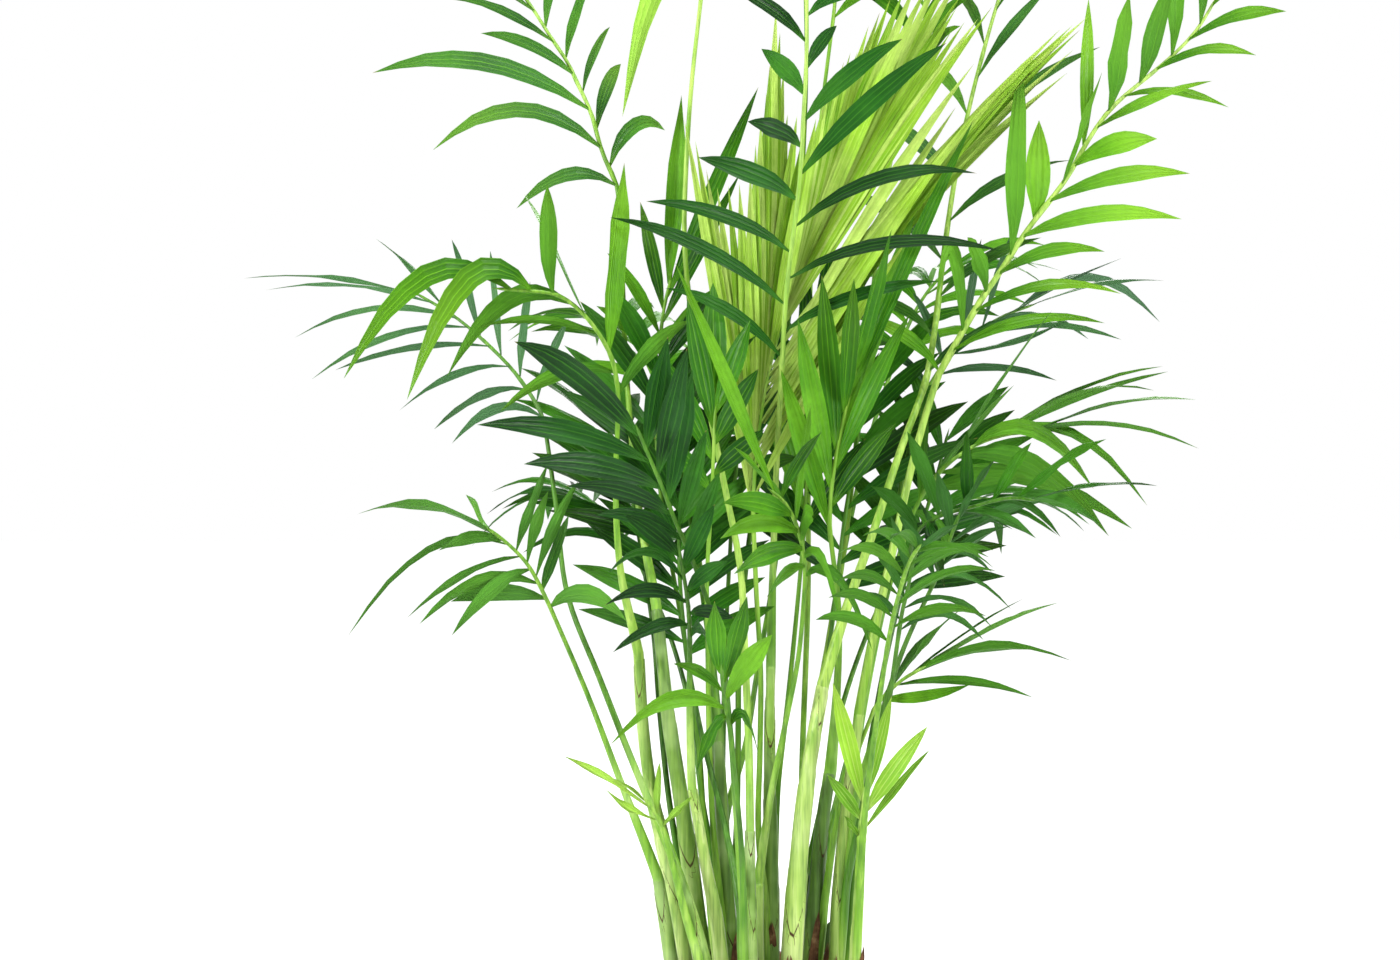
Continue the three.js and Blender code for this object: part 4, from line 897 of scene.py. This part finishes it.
def wrapScale(spots, route, place):  # the sheet laid round one cane
    number, over, length, heading, peel = place
    rng = random.Random(number)
    path, radius = route["path"], route["radius"]
    gone = lengthsAlong(path)
    start = np.interp(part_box("soil")[1].z + over * mm, path[:, 2], gone)
    x, y, z = spots.T
    ragged = 1 + 0.10 * np.sin(9 * x + 5 * number)
    where = start + y * length * mm * ragged
    centre = np.stack([np.interp(where, gone, path[:, k]) for k in range(3)], axis=1)
    taper = np.clip(1 - y, 0, 1) ** 0.75 * 0.94 + 0.06
    lean = rng.uniform(-0.35, 0.35)
    angle = math.radians(heading) + math.radians(scale["wrap"]) * (x * taper + lean * y)
    out = np.interp(where, gone, radius) + 1.0 * mm + peel * mm * y ** 2.2 + z * scale["thick"]
    out += 0.5 * mm * np.abs(x) * np.sin(7 * y + number)
    return centre + np.stack([out * np.cos(angle), out * np.sin(angle), 0 * out], axis=1)


def makeScales(canes):
    spots, faces = makeMasterScale()
    points, polygons = [], []
    for k, place in enumerate(scale["places"]):
        points.append(wrapScale(spots, canes[place[0] - 1], place))
        polygons += [[k * len(spots) + i for i in face] for face in faces]
    piece = newPiece("dryScales", np.concatenate(points).tolist(), polygons)
    pick(piece)
    bpy.ops.object.mode_set(mode="EDIT")
    turnOutwards()
    bpy.ops.object.mode_set(mode="OBJECT")
    smooth(piece, 60)
    return piece


scales = makeScales(canes)
scales.data.materials.append(finishes["dryScale"])
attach(scales, "root")
print("dry scales:", len(scale["places"]))

leafletCount = 0
for name in sorted(n for n in palmNodes if n.startswith("leaf_")):
    leaflets, centres, radii = readLeaf(name)
    tone = subparts[name]["material_slot"]
    strips = fillFan(leaflets) if name == fan["leaf"] else leaflets
    finishPiece(growBlades(name, strips, bladeSpots, bladeFaces), tone, tone, name)
    stem = growStalk(name, stalkShape, centres, radii, leaflets, canes)
    finishPiece(stem, "petiole", "cane_green", name)
    leafletCount += len(strips)
print("leaflets grown:", leafletCount)


# Pot

pot = {
    "steps": 96,
    "holes": 6,
    "holeRadius": 5 * mm,
    "holeCircle": 45 * mm,
    "footRadius": 68 * mm,
    "footHeight": 3 * mm,
    "wall": 2.2 * mm,
    "floor": 5.4 * mm,     # height of the inside of its floor
    "lip": 22 * mm,
    "lipStep": 4 * mm,
    "axis": 0.1 * mm,      # the profile's ends stay this far off the axis until they are merged
}


def potProfile(rim, height):  # half the section, from the middle of the underside round to the inside
    footRadius, footHeight, wall, floor = pot["footRadius"], pot["footHeight"], pot["wall"], pot["floor"]
    innerTop = rim - pot["lipStep"] - wall
    lipLow = height - pot["lip"]

    def outside(z):
        return footRadius + (innerTop + wall - footRadius) / height * z

    return [
        (pot["axis"], footHeight),
        (footRadius - 8 * mm, footHeight),
        (footRadius - 6 * mm, 0.6 * mm),
        (footRadius - 5 * mm, 0),
        (footRadius - 1.2 * mm, 0),
        (footRadius + 0.1 * mm, 1.2 * mm),
        (outside(10 * mm), 10 * mm),
        (outside(lipLow / 2), lipLow / 2),
        (outside(lipLow - 3 * mm), lipLow - 3 * mm),
        (outside(lipLow) + 0.6 * mm, lipLow - 0.4 * mm),
        (outside(lipLow) + 2.6 * mm, lipLow),
        (rim - 0.5 * mm, lipLow + 0.8 * mm),
        (rim - 0.2 * mm, lipLow + 2.5 * mm),
        (rim, height - 3 * mm),
        (rim - 0.5 * mm, height - 1.0 * mm),
        (rim - 1.6 * mm, height - 0.1 * mm),
        (innerTop + 1.8 * mm, height),
        (innerTop + 0.5 * mm, height - 0.7 * mm),
        (innerTop, height - 2.2 * mm),
        (outside(lipLow) - wall, lipLow),
        (outside(20 * mm) - wall, 20 * mm),
        (outside(8 * mm) - wall - 0.6 * mm, 8 * mm),
        (outside(6 * mm) - wall - 3 * mm, floor + 0.2 * mm),
        (footRadius / 2, floor),
        (pot["axis"], floor),
    ]


def drillHoles(piece):
    for k in range(pot["holes"]):
        angle = 2 * math.pi * k / pot["holes"]
        clearSelection()
        spot = (pot["holeCircle"] * math.cos(angle), pot["holeCircle"] * math.sin(angle), 4 * mm)
        bpy.ops.mesh.primitive_cylinder_add(vertices=24, radius=pot["holeRadius"], depth=20 * mm,
                                            location=spot)
        drill = bpy.context.object
        cut = piece.modifiers.new("drainHole", "BOOLEAN")
        cut.operation, cut.object, cut.solver = "DIFFERENCE", drill, "EXACT"
        bpy.context.view_layer.objects.active = piece
        bpy.ops.object.modifier_apply(modifier=cut.name)
        bpy.data.objects.remove(drill, do_unlink=True)


def makePot():
    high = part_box("pot")[1]
    profile = potProfile(high.x, high.z)
    line = [(i, i + 1) for i in range(len(profile) - 1)]
    piece = newPiece("potShell", [(x, 0, z) for x, z in profile], [], line)
    pick(piece)
    bpy.ops.object.mode_set(mode="EDIT")
    bpy.ops.mesh.select_all(action="SELECT")
    bpy.ops.mesh.spin(steps=pot["steps"], angle=2 * math.pi, center=(0, 0, 0), axis=(0, 0, 1))
    bpy.ops.mesh.select_all(action="SELECT")
    bpy.ops.mesh.remove_doubles(threshold=1.5 * pot["axis"])
    turnOutwards()
    bpy.ops.object.mode_set(mode="OBJECT")
    drillHoles(piece)
    smooth(piece, 40)
    return piece


finishPiece(makePot(), "pot_plastic", "pot_plastic", "pot")
print("pot made")


# Soil

soil = {
    "rings": 34,
    "spokes": 96,
    "dome": 4 * mm,        # the middle stands this much over the edge
    "sunk": 1.2 * mm,
    "rough": 1.6 * mm,
    "fineness": 110,       # of its lumps, per metre
    "calmRim": 0.985,      # the lumps are smaller outside this share of the radius
}


def makeSoil():
    low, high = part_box("soil")
    radius = high.x
    clearSelection()
    bpy.ops.mesh.primitive_circle_add(vertices=soil["spokes"], radius=radius, fill_type="NOTHING")
    piece = bpy.context.object
    piece.name = "soilBed"
    bpy.ops.object.mode_set(mode="EDIT")
    bpy.ops.mesh.select_all(action="SELECT")
    for k in range(soil["rings"] - 1):
        share = (soil["rings"] - 1 - k) / (soil["rings"] - k)
        bpy.ops.mesh.extrude_edges_move()
        bpy.ops.transform.resize(value=(share, share, 1))
    bpy.ops.mesh.merge(type="CENTER")
    turnOutwards()
    bpy.ops.object.mode_set(mode="OBJECT")
    for v in piece.data.vertices:
        r = min(v.co.xy.length / radius, 1)
        lumps = noise.fractal(v.co * soil["fineness"], 0.8, 2.1, 5) * soil["rough"]
        height = high.z - soil["dome"] * r * r - soil["sunk"]
        v.co.z = height + lumps * (1 if r < soil["calmRim"] else 0.3)
    pick(piece)
    bpy.ops.object.mode_set(mode="EDIT")
    bpy.ops.mesh.select_all(action="DESELECT")
    bpy.ops.mesh.select_non_manifold()
    bpy.ops.mesh.extrude_edges_move()
    bpy.ops.object.mode_set(mode="OBJECT")
    floorSpots = [v.co for v in palmNodes["soil"].data.vertices if v.co.z < low.z + 0.2 * mm]
    narrower = max(spot.xy.length for spot in floorSpots) / radius
    for v in piece.data.vertices:          # the new ring goes down to the pot's floor
        if v.select:
            v.co.z = low.z
            v.co.xy = v.co.xy * narrower
    bpy.ops.object.mode_set(mode="EDIT")
    bpy.ops.mesh.edge_face_add()
    turnOutwards()
    bpy.ops.object.mode_set(mode="OBJECT")
    return piece


crumb = {
    "count": 420,
    "size": (0.7 * mm, 2.4 * mm),
    "uneven": 0.30,
    "flat": 0.65,
    "reach": 0.94,         # how far out they lie, as a share of the bed's radius
    "gap": 1.5 * mm,       # between a crumb's middle and a cane
}


def makeMasterCrumb():
    clearSelection()
    bpy.ops.mesh.primitive_ico_sphere_add(subdivisions=1, radius=1)
    bpy.ops.object.mode_set(mode="EDIT")
    bpy.ops.transform.vertex_random(offset=crumb["uneven"], seed=4)
    bpy.ops.transform.resize(value=(1, 0.8, crumb["flat"]), center_override=(0, 0, 0))
    bpy.ops.object.mode_set(mode="OBJECT")
    return bpy.context.object


def strewCrumbs(bed, canes):
    master = makeMasterCrumb()
    spots = np.array([v.co for v in bed.data.vertices])
    spots = spots[spots[:, 2] > spots[:, 2].max() - 20 * mm]
    limit = crumb["reach"] * spots[:, 0].max()
    surface = spots[:, 2].mean()
    feet = [c["path"][np.abs(c["path"][:, 2] - surface).argmin()] for c in canes]
    rng = random.Random("crumbs")
    crumbs = []
    while len(crumbs) < crumb["count"]:
        here = np.array([rng.uniform(-limit, limit), rng.uniform(-limit, limit)])
        away = min(np.linalg.norm(here - foot[:2]) - c["radius"][1] for foot, c in zip(feet, canes))
        if np.linalg.norm(here) > limit or away < crumb["gap"]:
            continue
        under = spots[np.linalg.norm(spots[:, :2] - here, axis=1).argmin()]
        piece = master.copy()
        piece.data = master.data.copy()
        piece.location = (here[0], here[1], under[2])
        piece.rotation_euler = (rng.uniform(-0.5, 0.5), rng.uniform(-0.5, 0.5), rng.uniform(0, 2 * math.pi))
        piece.scale = [rng.uniform(*crumb["size"])] * 3
        bpy.context.collection.objects.link(piece)
        crumbs.append(piece)
    clearSelection()
    for piece in crumbs:
        piece.select_set(True)
    bpy.context.view_layer.objects.active = crumbs[0]
    bpy.ops.object.join()
    bpy.ops.object.transform_apply(location=True, rotation=True, scale=True)
    bpy.data.objects.remove(master, do_unlink=True)
    crumbs[0].name = "soilCrumbs"
    smooth(crumbs[0], 40)
    return crumbs[0]


bed = makeSoil()
strewn = strewCrumbs(bed, canes)
finishPiece(bed, "potting_soil", "potting_soil", "soil")
strewn.data.materials.append(finishes["potting_soil"])
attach(strewn, "root")
print("soil made, crumbs:", crumb["count"])
